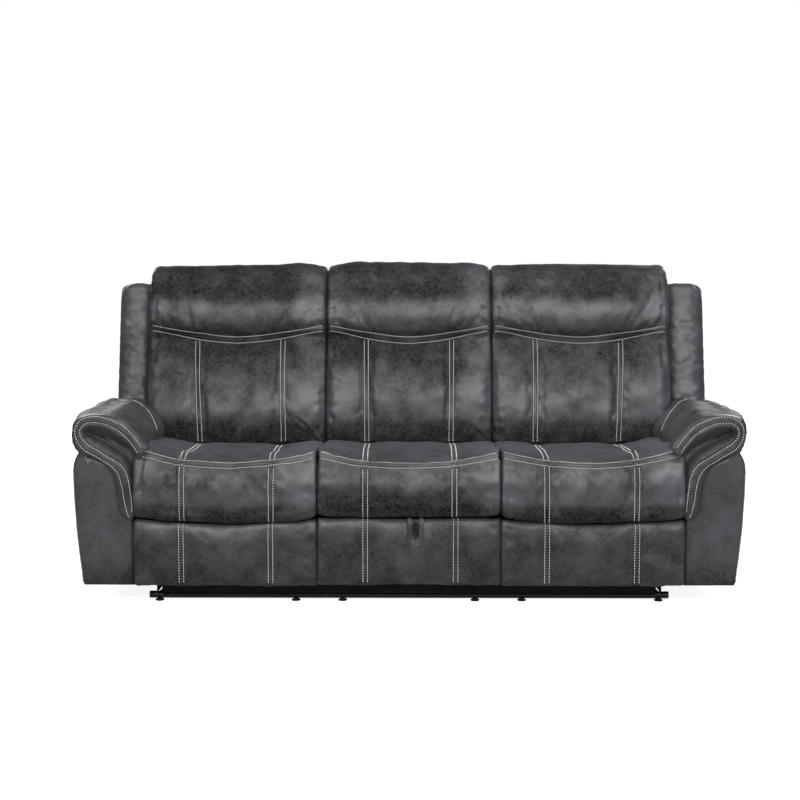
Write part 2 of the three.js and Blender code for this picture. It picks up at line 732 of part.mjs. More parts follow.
// Section of the pad roll, as shares of the arm's width and the pad's height
const padSectionShares = [
  [0.05, 0], [0.005, 0.04], [-0.1, 0.22], [-0.146, 0.37], [-0.1, 0.56], [0.05, 0.79], [0.27, 0.94],
  [0.51, 1], [0.76, 0.98], [0.91, 0.85], [0.985, 0.65], [0.975, 0.42], [0.945, 0.22], [0.93, 0.08],
  [0.92, 0],
];

// Front scroll, from its tail to its nose: inner edge and outer edge, as shares
const scrollStationShares = [
  [0.015, 0, 0.08, 0.005], [0.01, 0.18, 0.24, 0.135], [0.01, 0.355, 0.285, 0.34], [0.005, 0.54, 0.34, 0.455],
  [-0.06, 0.64, 0.47, 0.533], [-0.05, 0.76, 0.61, 0.58], [0.1, 0.87, 0.755, 0.614],
  [0.29, 0.956, 0.878, 0.655],
  [0.535, 1, 0.96, 0.73], [0.755, 0.994, 1, 0.817], [0.91, 0.933, 0.97, 0.89],
];

// Rings of the scroll from its rear face to its inner panel: depth and how far the edge is drawn in
const scrollRingShares = [[0, 0], [0.45, 0], [0.8, 0.07], [1, 0.17], [0.85, 0.25], [0.5, 0.3]];

function buildArm(prefix, sign) {
  const width = armHalf - armInnerX;
  const atX = (share) => sign * (armInnerX + share * width);
  const scrollHeight = armPadTop - scrollBottom;
  const rings = scrollRingShares.map(([depthShare, drawShare]) => {
    const y = armFrontY - seat + depthShare * (scrollFrontY - armFrontY + seat);
    const edge = (fromX, fromZ, toX, toZ) => [
      atX(THREE.MathUtils.lerp(fromX, toX, drawShare)), y,
      scrollBottom + THREE.MathUtils.lerp(fromZ, toZ, drawShare) * scrollHeight];
    const inner = scrollStationShares.map(([ax, az, bx, bz]) => edge(ax, az, bx, bz));
    const outer = scrollStationShares.map(([ax, az, bx, bz]) => edge(bx, bz, ax, az));
    return [...inner, ...outer.reverse()];
  });
  addMesh(`${prefix}_arm_scroll`, loft(rings, [0, 2]), 'upholstery');

  addMesh(`${prefix}_arm_pad`, armPad(atX), 'upholstery');
  addMesh(`${prefix}_arm_body`, armBody(sign), 'upholstery');
  addMesh(`${prefix}_release_handle`, paddle(sign), 'plastic');
}

// The roll on top of an arm; its inner half ends before the back cushion, its outer half runs on to the wing
function armPad(atX) {
  const padBottom = armBodyTop + seat;
  const rearEnd = armSlopeFrontY - seat;
  const innerEnd = (armPadEndX - armInnerX) / (armHalf - armInnerX);
  const stations = [
    { y: armFrontY, limit: null, draw: 0 },
    { y: (armFrontY + armPadInnerEndY) / 2, limit: null, draw: 0 },
    { y: armPadInnerEndY, limit: null, draw: 0 },
    { y: armPadInnerEndY + armPadRound / 2, limit: innerEnd / 2, draw: 0 },
    { y: armPadInnerEndY + armPadRound, limit: innerEnd, draw: 0 },
    { y: rearEnd - armPadRound, limit: innerEnd, draw: 0 },
    { y: rearEnd - armPadRound / 3, limit: innerEnd, draw: 0.1 },
    { y: rearEnd, limit: innerEnd, draw: 0.3 }];
  const middle = [0.5 + innerEnd / 2, 0.5];
  return loft(stations.map(({ y, limit, draw }) => padSectionShares.map(([across, up]) => {
    const held = limit === null ? across : Math.max(across, limit);
    const [x, z] = [THREE.MathUtils.lerp(held, middle[0], draw), THREE.MathUtils.lerp(up, middle[1], draw)];
    return [atX(x), y, padBottom + z * (armPadTop - padBottom)];
  })));
}

function armOuterX(z) {
  return THREE.MathUtils.mapLinear(z, armBottom, armBodyTop, armOuterBottomX, armOuterTopX);
}

// The flat sided arm under the roll, with a slope behind it that clears the moving wing
function armBody(sign) {
  const stations = [[armFrontY, armBodyTop], [armSlopeFrontY, armBodyTop], [armSlopeStartY, armSlopeStartZ],
    [armRearY, armSlopeEndZ]];
  const rings = stations.map(([y, top]) => [
    [sign * armInnerX, y, armBottom], [sign * armOuterX(armBottom), y, armBottom],
    [sign * armOuterX(top), y, top], [sign * armInnerX, y, top]]);
  const outerX = armOuterX(handleZ);
  const [pocketFrom, pocketTo] = ordered(sign * (outerX - pocketDepth), sign * (outerX + overrun));
  const pocket = box(pocketFrom, pocketTo, handleY - pocketLength / 2, handleY + pocketLength / 2,
    handleZ - pocketHeight / 2, handleZ + pocketHeight / 2);
  const [pinX, pinZ] = paddlePivot(sign);
  const reach = pocketLength / 2 + paddlePinReach + pinClearance;
  const bore = rodY(pinX, pinZ, paddlePinRadius + pinClearance, handleY - reach, handleY + reach, pinSides);
  const [notchFrom, notchTo] = ordered(sign * (armInnerX - overrun), sign * armPadEndX);
  const notch = box(notchFrom, notchTo, armPadInnerEndY + armPadRound, armRearY, armNotchZ, armPadTop);
  return combine([loft(rings)], [pocket, bore, notch]);
}

// The paddle turns on pins near its lower edge, in the ends of the pocket
function paddlePivot(sign) {
  const bottom = handleZ - pocketHeight / 2 + paddleClearance;
  return [sign * (armOuterX(handleZ - pocketHeight / 2) - paddleInset - paddleThickness / 2),
    bottom + paddleThickness / 2];
}

function paddle(sign) {
  const [pinX, pinZ] = paddlePivot(sign);
  const bottom = pinZ - paddleThickness / 2;
  const reach = pocketLength / 2 + paddlePinReach;
  return combine([
    box(pinX - paddleThickness / 2, pinX + paddleThickness / 2,
      handleY - paddleLength / 2, handleY + paddleLength / 2, bottom, bottom + paddleHeight),
    rodY(pinX, pinZ, paddlePinRadius, handleY - reach, handleY + reach, pinSides)]);
}

// Upholstered apron across the rear, between the arms

function buildApron() {
  const half = armInnerX - apronInset;
  const nearY = railRearY + seat;
  addMesh('rear_apron', box(-half, half, nearY, nearY + apronThickness, apronBottom, apronTop), 'upholstery');
}

buildBase();
for (const [prefix, sign] of [['left', -1], ['right', 1]]) {
  const bayX = sign * bayPitch;
  buildRail(`${prefix}_rail_outer`, bayX, sign, true);
  buildRail(`${prefix}_rail_inner`, bayX, -sign, false);
  buildSeatDeck(`${prefix}_seat_deck`, bayX);
  buildSeatCushion(`${prefix}_seat_cushion`, bayX);
  buildChain(prefix, bayX);
  buildFootrest(prefix, bayX);
  buildRecliningBack(prefix, sign);
  buildArm(prefix, sign);
}
buildMiddleBay();
buildMiddleBack();
buildApron();

export default sofa;
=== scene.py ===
import json
import math

import bpy
import numpy as np
from mathutils import Matrix, Vector


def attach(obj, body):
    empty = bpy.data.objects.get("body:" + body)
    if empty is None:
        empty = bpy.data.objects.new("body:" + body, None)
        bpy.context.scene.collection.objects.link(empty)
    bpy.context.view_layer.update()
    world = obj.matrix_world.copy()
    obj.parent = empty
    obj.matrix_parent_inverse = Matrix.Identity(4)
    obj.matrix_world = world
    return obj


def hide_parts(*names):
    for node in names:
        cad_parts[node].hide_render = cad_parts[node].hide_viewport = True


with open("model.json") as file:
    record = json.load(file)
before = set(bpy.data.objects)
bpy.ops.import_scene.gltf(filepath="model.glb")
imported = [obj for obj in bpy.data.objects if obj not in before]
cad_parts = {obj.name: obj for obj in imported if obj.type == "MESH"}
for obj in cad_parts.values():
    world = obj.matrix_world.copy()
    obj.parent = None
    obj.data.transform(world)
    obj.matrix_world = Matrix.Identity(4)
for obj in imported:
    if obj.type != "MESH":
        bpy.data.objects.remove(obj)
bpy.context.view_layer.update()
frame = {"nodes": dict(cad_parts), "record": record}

# Sizes in metres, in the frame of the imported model: X to the right, Y to the rear, Z up
BAY = 0.5834
LEAN = math.radians(14)
BACK_FOOT = (0.190, 0.400)
SIDES = (("left", -1), ("right", 1))
BAYS = (("left", -1), ("middle", 0), ("right", 1))


# Closed outlines and grids

def outline(points, steps=10):
    """A closed smooth curve through points, as dense points and the length up to each."""
    p = np.array(points, float)
    n = len(p)
    t = np.linspace(0, 1, steps, endpoint=False)[:, None]
    out = []
    for i in range(n):
        a, b, c, d = p[i - 1], p[i], p[(i + 1) % n], p[(i + 2) % n]
        m1 = (c - a) / 2
        m2 = (d - b) / 2
        m1 = m1 * min(1, 1.2 * np.linalg.norm(c - b) / (np.linalg.norm(m1) + 1e-9))
        m2 = m2 * min(1, 1.2 * np.linalg.norm(c - b) / (np.linalg.norm(m2) + 1e-9))
        h = [2 * t**3 - 3 * t**2 + 1, t**3 - 2 * t**2 + t, -2 * t**3 + 3 * t**2, t**3 - t**2]
        out.append(h[0] * b + h[1] * m1 + h[2] * c + h[3] * m2)
    dense = np.vstack(out + [p[:1]])
    length = np.concatenate([[0], np.cumsum(np.linalg.norm(np.diff(dense, axis=0), axis=1))])
    return dense, length


def along(curve, w):
    """The point at length w of a closed curve."""
    dense, length = curve
    w = np.mod(w, length[-1])
    return np.stack([np.interp(w, length, dense[:, k]) for k in (0, 1)], axis=-1)


def nearest(curve, point):
    dense, length = curve
    return length[np.argmin(np.linalg.norm(dense - np.array(point), axis=1))]


def waves(p, seed, size, count=14):
    """Smooth lumps of about that size at the points p, between about -1 and 1."""
    rng = np.random.default_rng(seed)
    total = np.zeros(p.shape[:-1])
    for _ in range(count):
        direction = rng.normal(size=3)
        direction *= (0.6 + 0.9 * rng.random()) * 2 * math.pi / size / np.linalg.norm(direction)
        total += np.sin(p @ direction + rng.random() * 2 * math.pi)
    return total / math.sqrt(count * 2)


def grid_normals(p, outward=1):
    """Normals of a grid that closes on itself in its second direction."""
    du = np.gradient(p, axis=0)
    dv = (np.roll(p, -1, axis=1) - np.roll(p, 1, axis=1)) / 2
    n = np.cross(du, dv)
    n /= np.linalg.norm(n, axis=-1, keepdims=True) + 1e-12
    return n * outward


def smooth_step(t):
    t = np.clip(t, 0, 1)
    return t * t * (3 - 2 * t)


def new_object(name, verts, faces, material, smooth=True):
    mesh = bpy.data.meshes.new(name)
    mesh.from_pydata([tuple(v) for v in np.asarray(verts).tolist()], [], faces)
    mesh.validate()
    mesh.polygons.foreach_set("use_smooth", [smooth] * len(mesh.polygons))
    mesh.materials.append(material)
    mesh.update()
    made = bpy.data.objects.new(name, mesh)
    bpy.context.scene.collection.objects.link(made)
    return made


def signed_volume(v, faces):
    total = 0
    f = np.array([face[:3] for face in faces])
    total += np.einsum("ij,ij->", v[f[:, 0]], np.cross(v[f[:, 1]], v[f[:, 2]]))
    quads = np.array([[face[0], face[2], face[3]] for face in faces if len(face) == 4])
    if len(quads):
        total += np.einsum("ij,ij->", v[quads[:, 0]], np.cross(v[quads[:, 1]], v[quads[:, 2]]))
    return total


CAP_SHARES = (0.86, 0.6, 0.3)


def grid_attribute(piece, name, a):
    """Stores one value a grid point on a piece that closed_grid made."""
    values = np.concatenate([np.tile(a[0], len(CAP_SHARES)), a.reshape(-1), np.tile(a[-1], len(CAP_SHARES)),
                             [a[0].mean(), a[-1].mean()]])
    piece.data.attributes.new(name, "FLOAT", "POINT").data.foreach_set("value", values.astype(np.float32))


def closed_grid(name, p, material):
    """A solid from rings of points: quads between them, and each end closed by smaller rings and a fan."""
    first, last = p[0], p[-1]
    rings = [first.mean(0) + (first - first.mean(0)) * s for s in reversed(CAP_SHARES)]
    rings += list(p)
    rings += [last.mean(0) + (last - last.mean(0)) * s for s in CAP_SHARES]
    rings = np.array(rings)
    nu, nv = rings.shape[:2]
    verts = list(rings.reshape(-1, 3))
    faces = []
    for i in range(nu - 1):
        for j in range(nv):
            k = (j + 1) % nv
            faces.append((i * nv + j, i * nv + k, (i + 1) * nv + k, (i + 1) * nv + j))
    for ring, flip in ((0, True), (nu - 1, False)):
        verts.append(rings[ring].mean(0))
        middle = len(verts) - 1
        for j in range(nv):
            k = (j + 1) % nv
            a, b = ring * nv + j, ring * nv + k
            faces.append((b, a, middle) if flip else (a, b, middle))
    verts = np.array(verts)
    if signed_volume(verts, faces) < 0:
        faces = [tuple(reversed(face)) for face in faces]
    return new_object(name, verts, faces, material)


# Stitches

THREAD_WIDTH = 0.0025
STITCH_LENGTH = 0.0054
STITCH_PITCH = 0.0087


def grid_point(p, i, j):
    """The value of a grid at fractional indices, closed in its second direction."""
    i = np.clip(i, 0, p.shape[0] - 1.001)
    j = np.mod(j, p.shape[1])
    i0, j0 = np.floor(i).astype(int), np.floor(j).astype(int)
    fi, fj = (i - i0)[..., None], (j - j0)[..., None]
    j1 = (j0 + 1) % p.shape[1]
    low = p[i0, j0] * (1 - fj) + p[i0, j1] * fj
    high = p[i0 + 1, j0] * (1 - fj) + p[i0 + 1, j1] * fj
    return low * (1 - fi) + high * fi


def stitch_rows(path, normals, verts, faces, pitch=STITCH_PITCH):
    """Adds a row of stitches along a path of points to verts and faces."""
    step = np.linalg.norm(np.diff(path, axis=0), axis=1)
    length = np.concatenate([[0], np.cumsum(step)])
    if length[-1] < pitch:
        return
    starts = np.arange(0.3 * pitch, length[-1] - STITCH_LENGTH, pitch)
    profile = [(0, -0.35, 0.5), (0.2, 0.5, 0.9), (0.5, 0.75, 1), (0.8, 0.5, 0.9), (1, -0.35, 0.5)]
    for s in starts:
        rows = []
        for share, lift, width in profile:
            w = s + share * STITCH_LENGTH
            point = np.array([np.interp(w, length, path[:, k]) for k in range(3)])
            normal = np.array([np.interp(w, length, normals[:, k]) for k in range(3)])
            normal /= np.linalg.norm(normal) + 1e-9
            ahead = np.array([np.interp(w + 0.002, length, path[:, k]) for k in range(3)])
            back = np.array([np.interp(w - 0.002, length, path[:, k]) for k in range(3)])
            tangent = ahead - back
            tangent /= np.linalg.norm(tangent) + 1e-9
            side = np.cross(normal, tangent)
            half = THREAD_WIDTH / 2
            centre = point + normal * half * lift
            rows.append([centre + (side * math.cos(a) * width + normal * math.sin(a)) * half
                         for a in np.arange(5) * 2 * math.pi / 5])
        base = len(verts)
        verts.extend(v for row in rows for v in row)
        for r in range(len(rows) - 1):
            for k in range(5):
                n = (k + 1) % 5
                a, b = base + r * 5, base + (r + 1) * 5
                faces.append((a + k, a + n, b + n, b + k))
        faces.append(tuple(base + k for k in reversed(range(5))))
        faces.append(tuple(base + 20 + k for k in range(5)))


# Finishes

class Shader:
    """A material, and short ways to add and join its nodes."""

    def __init__(self, name, **settings):
        self.material = bpy.data.materials.new(name)
        self.material.use_nodes = True
        self.tree = self.material.node_tree
        self.surface = next(n for n in self.tree.nodes if n.type == "BSDF_PRINCIPLED")
        for key, value in settings.items():
            self.surface.inputs[key.replace("_", " ")].default_value = value
        self.place = self.add("ShaderNodeTexCoord").outputs["Object"]

    def add(self, kind, **settings):
        node = self.tree.nodes.new(kind)
        for key, value in settings.items():
            setattr(node, key, value)
        return node

    def join(self, output, target):
        self.tree.links.new(output, target)

    def stretched(self, scale):
        node = self.add("ShaderNodeMapping")
        self.join(self.place, node.inputs["Vector"])
        node.inputs["Scale"].default_value = scale
        return node.outputs["Vector"]

    def noise(self, scale, detail=3, rough=0.5, distortion=0, place=None):
        node = self.add("ShaderNodeTexNoise")
        self.join(place or self.place, node.inputs["Vector"])
        for key, value in (("Scale", scale), ("Detail", detail), ("Roughness", rough),
                           ("Distortion", distortion)):
            node.inputs[key].default_value = value
        return node.outputs["Fac"]

    def cells(self, scale, feature="DISTANCE_TO_EDGE", place=None):
        node = self.add("ShaderNodeTexVoronoi", feature=feature)
        self.join(place or self.place, node.inputs["Vector"])
        node.inputs["Scale"].default_value = scale
        return node.outputs["Distance"]

    def math(self, operation, a, b=0.0, clamp=False):
        node = self.add("ShaderNodeMath", operation=operation, use_clamp=clamp)
        for slot, value in zip(node.inputs, (a, b)):
            if isinstance(value, (int, float)):
                slot.default_value = value
            else:
                self.join(value, slot)
        return node.outputs[0]

    def remap(self, value, low, high, to_low=0.0, to_high=1.0):
        node = self.add("ShaderNodeMapRange", interpolation_type="SMOOTHSTEP")
        self.join(value, node.inputs["Value"])
        for key, number in (("From Min", low), ("From Max", high), ("To Min", to_low), ("To Max", to_high)):
            node.inputs[key].default_value = number
        return node.outputs["Result"]

    def ramp(self, value, stops):
        node = self.add("ShaderNodeValToRGB")
        self.join(value, node.inputs["Fac"])
        elements = node.color_ramp.elements
        while len(elements) < len(stops):
            elements.new(0.5)
        for element, (place, color) in zip(elements, stops):
            element.position = place
            element.color = (*color, 1)
        return node.outputs["Color"]

    def mix(self, share, a, b):
        node = self.add("ShaderNodeMix", data_type="RGBA")
        slots = [s for s in node.inputs if s.enabled]
        for slot, value in zip(slots, (share, a, b)):
            if isinstance(value, (int, float)):
                slot.default_value = value
            elif isinstance(value, tuple):
                slot.default_value = (*value, 1)
            else:
                self.join(value, slot)
        return next(s for s in node.outputs if s.enabled)

    def bump(self, height, strength, distance, under=None):
        node = self.add("ShaderNodeBump")
        self.join(height, node.inputs["Height"])
        node.inputs["Strength"].default_value = strength
        node.inputs["Distance"].default_value = distance
        if under is not None:
            self.join(under, node.inputs["Normal"])
        return node.outputs["Normal"]

    def finish(self, color=None, roughness=None, normal=None):
        for key, value in (("Base Color", color), ("Roughness", roughness), ("Normal", normal)):
            if value is not None:
                self.join(value, self.surface.inputs[key])
        return self.material


def grey(level, warm=0.0):
    return (level * (1 + warm), level, level * (1 - warm))


def charcoal(level):
    return (level * 1.0, level * 0.98, level * (1.03 + 1.6 * level))


# How far the painted light and shade attribute moves the fabric's colour level
PAINTED_LIGHT_REACH = 0.13


def suede():
    """Dark charcoal brushed microfibre: mottled, with light veins in its darker patches, and with painted highlight and
    shade bands laid on by the painted_light attribute.
    """
    s = Shader("charcoal_microfibre", Sheen_Weight=0.06, Sheen_Roughness=0.42,
               Specular_IOR_Level=0.55)
    s.surface.inputs["Sheen Tint"].default_value = (0.9, 0.92, 1.0, 1)
    broad = s.noise(6.5, 2, 0.5, 0.5)
    mottle = s.noise(24, 7, 0.66, 0.7)
    fine = s.noise(80, 5, 0.66, 0.5)
    bent = s.add("ShaderNodeVectorMath", operation="ADD")
    warp = s.add("ShaderNodeTexNoise")
    s.join(s.place, warp.inputs["Vector"])
    warp.inputs["Scale"].default_value = 38
    small = s.add("ShaderNodeVectorMath", operation="SCALE")
    s.join(warp.outputs["Color"], small.inputs[0])
    small.inputs["Scale"].default_value = 0.045
    s.join(s.place, bent.inputs[0])
    s.join(small.outputs[0], bent.inputs[1])
    vein = s.math("MINIMUM", s.cells(42, place=bent.outputs[0]), s.cells(88, place=bent.outputs[0]))
    vein_line = s.remap(vein, 0.0, 0.10, 1, 0)
    level = s.math("ADD", s.math("MULTIPLY", broad, 0.19),
                   s.math("ADD", s.math("MULTIPLY", mottle, 0.19), s.math("MULTIPLY", fine, 0.14)))
    # painted_light is painted highlight and shade stored on the mesh: it raises or lowers the colour level, and the
    # specular level with it
    painted_light = s.add("ShaderNodeAttribute", attribute_name="painted_light")
    level = s.math("ADD", level, s.math("ADD", s.math("MULTIPLY", painted_light.outputs["Fac"], PAINTED_LIGHT_REACH), 0.302))
    color = s.ramp(level, [(0.42, charcoal(0.005)), (0.5, charcoal(0.016)), (0.57, charcoal(0.034)),
                           (0.66, charcoal(0.060)), (0.78, charcoal(0.082))])
    dark = s.remap(level, 0.46, 0.62, 1, 0.15)
    share = s.math("MULTIPLY", s.math("MULTIPLY", vein_line, dark), 0.3)
    color = s.mix(share, color, charcoal(0.085))
    roughness = s.remap(level, 0.44, 0.7, 0.5, 0.4)
    s.join(s.remap(level, 0.40, 0.64, 0.10, 0.62), s.surface.inputs["Specular IOR Level"])
    normal = s.bump(s.noise(850, 2, 0.6), 0.2, 0.0004)
    normal = s.bump(mottle, 0.3, 0.0016, normal)
    return s.finish(color, roughness, normal)


def thread():
    s = Shader("cream_thread", Roughness=0.75, Sheen_Weight=0.3)
    color = s.ramp(s.noise(120, 2), [(0.3, (0.74, 0.73, 0.70)), (0.7, (0.92, 0.91, 0.88))])
    return s.finish(color, None, s.bump(s.cells(900, "F1"), 0.3, 0.0003))


def black_webbing():
    s = Shader("dark_strap", Sheen_Weight=0.15)
    ribs = s.add("ShaderNodeTexWave", bands_direction="Z", wave_type="BANDS")
    s.join(s.place, ribs.inputs["Vector"])
    ribs.inputs["Scale"].default_value = 160
    color = s.ramp(s.noise(60, 4, 0.6), [(0.35, grey(0.010)), (0.7, grey(0.034))])
    return s.finish(color, s.remap(s.noise(200), 0.3, 0.7, 0.6, 0.8),
                    s.bump(ribs.outputs["Fac"], 0.25, 0.0005))


def black_gloss():
    s = Shader("black_powder_coat", Metallic=0.0, Coat_Weight=0.2, Coat_Roughness=0.14,
               Specular_IOR_Level=0.4)
    color = s.ramp(s.noise(40, 4, 0.6), [(0.3, grey(0.009)), (0.7, grey(0.019))])
    scuff = s.remap(s.noise(22, 5, 0.65), 0.52, 0.72, 0.24, 0.4)
    return s.finish(color, scuff, s.bump(s.noise(700, 2), 0.12, 0.0003))


def black_paint():
    s = Shader("black_paint", Specular_IOR_Level=0.2)
    color = s.ramp(s.noise(40, 4, 0.6), [(0.3, grey(0.003)), (0.7, grey(0.008))])
    return s.finish(color, s.remap(s.noise(22, 5, 0.65), 0.4, 0.7, 0.5, 0.65),
                    s.bump(s.noise(700, 2), 0.12, 0.0003))


def zinc():
    s = Shader("zinc_plated_steel", Metallic=0.92)
    grain = s.noise(60, 5, 0.6, 0.4)
    spangle = s.cells(120, "F1")
    color = s.mix(s.math("MULTIPLY", spangle, 0.5), s.ramp(grain, [(0.3, (0.30, 0.31, 0.33)),
                  (0.7, (0.46, 0.47, 0.49))]), (0.36, 0.37, 0.40))
    return s.finish(color, s.remap(grain, 0.3, 0.7, 0.34, 0.52), s.bump(s.noise(300, 3), 0.12, 0.0004))


def black_plastic():
    s = Shader("moulded_black_plastic", Specular_IOR_Level=0.45)
    color = s.ramp(s.noise(35, 4, 0.55), [(0.3, grey(0.007)), (0.7, grey(0.014))])
    return s.finish(color, s.remap(s.noise(18, 4), 0.35, 0.7, 0.36, 0.52),
                    s.bump(s.noise(900, 2, 0.7), 0.28, 0.0004))


def plywood():
    s = Shader("birch_plywood", Specular_IOR_Level=0.35)
    grain = s.noise(9, 5, 0.62, 1.1, s.stretched((1.2, 9, 9)))
    pores = s.noise(140, 3, 0.6, 0.2, s.stretched((0.25, 1, 1)))
    ply = s.add("ShaderNodeTexWave", bands_direction="Z", wave_type="BANDS")
    s.join(s.place, ply.inputs["Vector"])
    ply.inputs["Scale"].default_value = 90
    color = s.ramp(grain, [(0.3, (0.42, 0.27, 0.14)), (0.5, (0.55, 0.38, 0.21)), (0.72, (0.66, 0.49, 0.30))])
    color = s.mix(s.math("MULTIPLY", s.remap(pores, 0.55, 0.7), 0.35), color, (0.30, 0.18, 0.09))
    color = s.mix(s.math("MULTIPLY", ply.outputs["Fac"], 0.12), color, (0.36, 0.22, 0.11))
    return s.finish(color, s.remap(grain, 0.3, 0.7, 0.62, 0.48), s.bump(pores, 0.2, 0.0005))


FABRIC = suede()
THREAD = thread()
FINISHES = {"upholstery": FABRIC, "strap": black_webbing(), "black_steel": black_gloss(),
            "zinc_steel": zinc(), "black_plastic": black_plastic(), "plywood": plywood()}
NODE_SLOTS = {part["node"]: part["material_slot"] for part in frame["record"]["subparts"]}
OTHER_FINISHES = {"base_front_bar": black_paint(), "left_rail_outer": black_paint(),
                  "right_rail_outer": black_paint()}
# The middle carcass takes the dark strap cloth, dark also to stand for the shade under the seats as painted shade; the
# back boards take the same cloth
OTHER_FINISHES.update({node: FINISHES["strap"] for node in
                       ("middle_carcass", *(f"{side}_back_board" for side, _ in BAYS))})
for node_name, node in frame["nodes"].items():
    node.data.materials.clear()
    node.data.materials.append(OTHER_FINISHES.get(node_name, FINISHES[NODE_SLOTS[node_name]]))


# Cloth blown up between the sewn lines

CLOTH_STEP = 0.012
CLOTH_FRAMES = 20
CLOTH_PRESSURE = 1.6
CLOTH_CAP = 0.024
CLOTH_INSET = 0.008
CLOTH_EXCESS = -0.014
CLOTH_SHARE = 0.62


def thinned(places, step):
    """Indices of rising places that are about a step apart, with the first and the last."""
    keep = [0]
    for i, place in enumerate(places):
        if place - places[keep[-1]] >= step:
            keep.append(i)
    if len(places) - 1 - keep[-1] < 3 and len(keep) > 1:
        keep.pop()
    return np.array(keep + [len(places) - 1])


def hermite(a, source, target):
    """Values a at rising source places, smoothly at the target places, along the first axis."""
    slope = np.gradient(a, source, axis=0)
    k = np.clip(np.searchsorted(source, target, side="right") - 1, 0, len(source) - 2)
    h = (source[k + 1] - source[k])
    t = (target - source[k]) / h
    shape = (len(target),) + (1,) * (a.ndim - 1)
    t, h = t.reshape(shape), h.reshape(shape)
    return ((2 * t**3 - 3 * t**2 + 1) * a[k] + (t**3 - 2 * t**2 + t) * h * slope[k]
            + (3 * t**2 - 2 * t**3) * a[k + 1] + (t**3 - t**2) * h * slope[k + 1])


def blown_up(forms):
    """Runs all forms together as cloth under pressure, held at their sewn lines.

    A form is a grid of points closed in its second direction, its outward normals and how free each
    point is, from 0 on a sewn line to 1. The result is how far each point moves, with no change in
    the mean thickness."""
    scene = bpy.context.scene
    made = []
    for number, (p, normals, free) in enumerate(forms):
        u = np.concatenate([[0], np.cumsum(np.linalg.norm(np.diff(p, axis=0), axis=2).mean(1))])
        closed = np.concatenate([p, p[:, :1]], axis=1)
        v = np.concatenate([[0], np.cumsum(np.linalg.norm(np.diff(closed, axis=1), axis=2).mean(0))])
        iu = thinned(u, CLOTH_STEP)
        jv = thinned(v, CLOTH_STEP)[:-1]
        base, n, loose = p[np.ix_(iu, jv)], normals[np.ix_(iu, jv)], free[np.ix_(iu, jv)]
        start = base - n * CLOTH_INSET * loose[..., None]
        cloth = closed_grid(f"cloth_{number}", start, FABRIC)
        first = len(CAP_SHARES) * len(jv)
        group = cloth.vertex_groups.new(name="held")
        ring = loose.reshape(-1)
        held = np.ones(len(cloth.data.vertices))
        held[first:first + len(ring)] = ring < 0.5
        group.add(np.nonzero(held)[0].tolist(), 1.0, "REPLACE")
        modifier = cloth.modifiers.new("Cloth", "CLOTH")
        settings = modifier.settings
        settings.quality = 4
        settings.tension_stiffness = settings.compression_stiffness = 12
        settings.shear_stiffness = 4
        settings.bending_stiffness = 0.15
        settings.vertex_group_mass = "held"
        settings.shrink_min = CLOTH_EXCESS
        settings.use_pressure = True
        settings.uniform_pressure_force = CLOTH_PRESSURE
        settings.effector_weights.gravity = 0
        modifier.collision_settings.use_collision = False
        modifier.point_cache.frame_start = 1
        modifier.point_cache.frame_end = CLOTH_FRAMES
        made.append((cloth, base, start, n, loose, u[iu], u, np.append(v[jv], v[-1]), v[:-1], first))
    for step in range(1, CLOTH_FRAMES + 1):
        scene.frame_set(step)
    depsgraph = bpy.context.evaluated_depsgraph_get()
    moves = []
    for cloth, base, start, n, loose, u_from, u_to, v_from, v_to, first in made:
        mesh = cloth.evaluated_get(depsgraph).data
        points = np.empty(len(mesh.vertices) * 3)
        mesh.vertices.foreach_get("co", points)
        count = base.shape[0] * base.shape[1]
        settled = points.reshape(-1, 3)[first:first + count].reshape(base.shape)
        moved = settled - start
        far = np.linalg.norm(moved, axis=-1, keepdims=True)
        settled = start + moved * np.minimum(1, CLOTH_CAP / np.maximum(far, 1e-9))
        change = settled - base
        out = np.einsum("ijk,ijk->ij", change, n)
        mean = (out * loose).sum() / max((loose * loose).sum(), 1e-9)
        change = (change - n * (mean * loose)[..., None]) * CLOTH_SHARE
        wrapped = np.concatenate([change, change[:, :1]], axis=1)
        fine = hermite(wrapped, u_from, u_to)
        fine = hermite(fine.transpose(1, 0, 2), v_from, v_to).transpose(1, 0, 2)
        moves.append(fine)
        data = cloth.data
        bpy.data.objects.remove(cloth)
        bpy.data.meshes.remove(data)
    scene.frame_set(1)
    return moves


# Padded pieces

def leaning(p):
    """Points of the back's own leaning frame, as points of the model."""
    y, z = p[..., 1], p[..., 2]
    out = p.copy()
    out[..., 1] = BACK_FOOT[0] + y * math.cos(LEAN) + z * math.sin(LEAN)
    out[..., 2] = BACK_FOOT[1] + z * math.cos(LEAN) - y * math.sin(LEAN)
    return out


def shares_outline(shares, y0, depth, z0, height):
    return outline([(y0 + depth * a, z0 + height * b) for a, b in shares])


END_ROUND = 0.06
PAIR_HALF = 0.0072
BAND_HALF = 0.0098


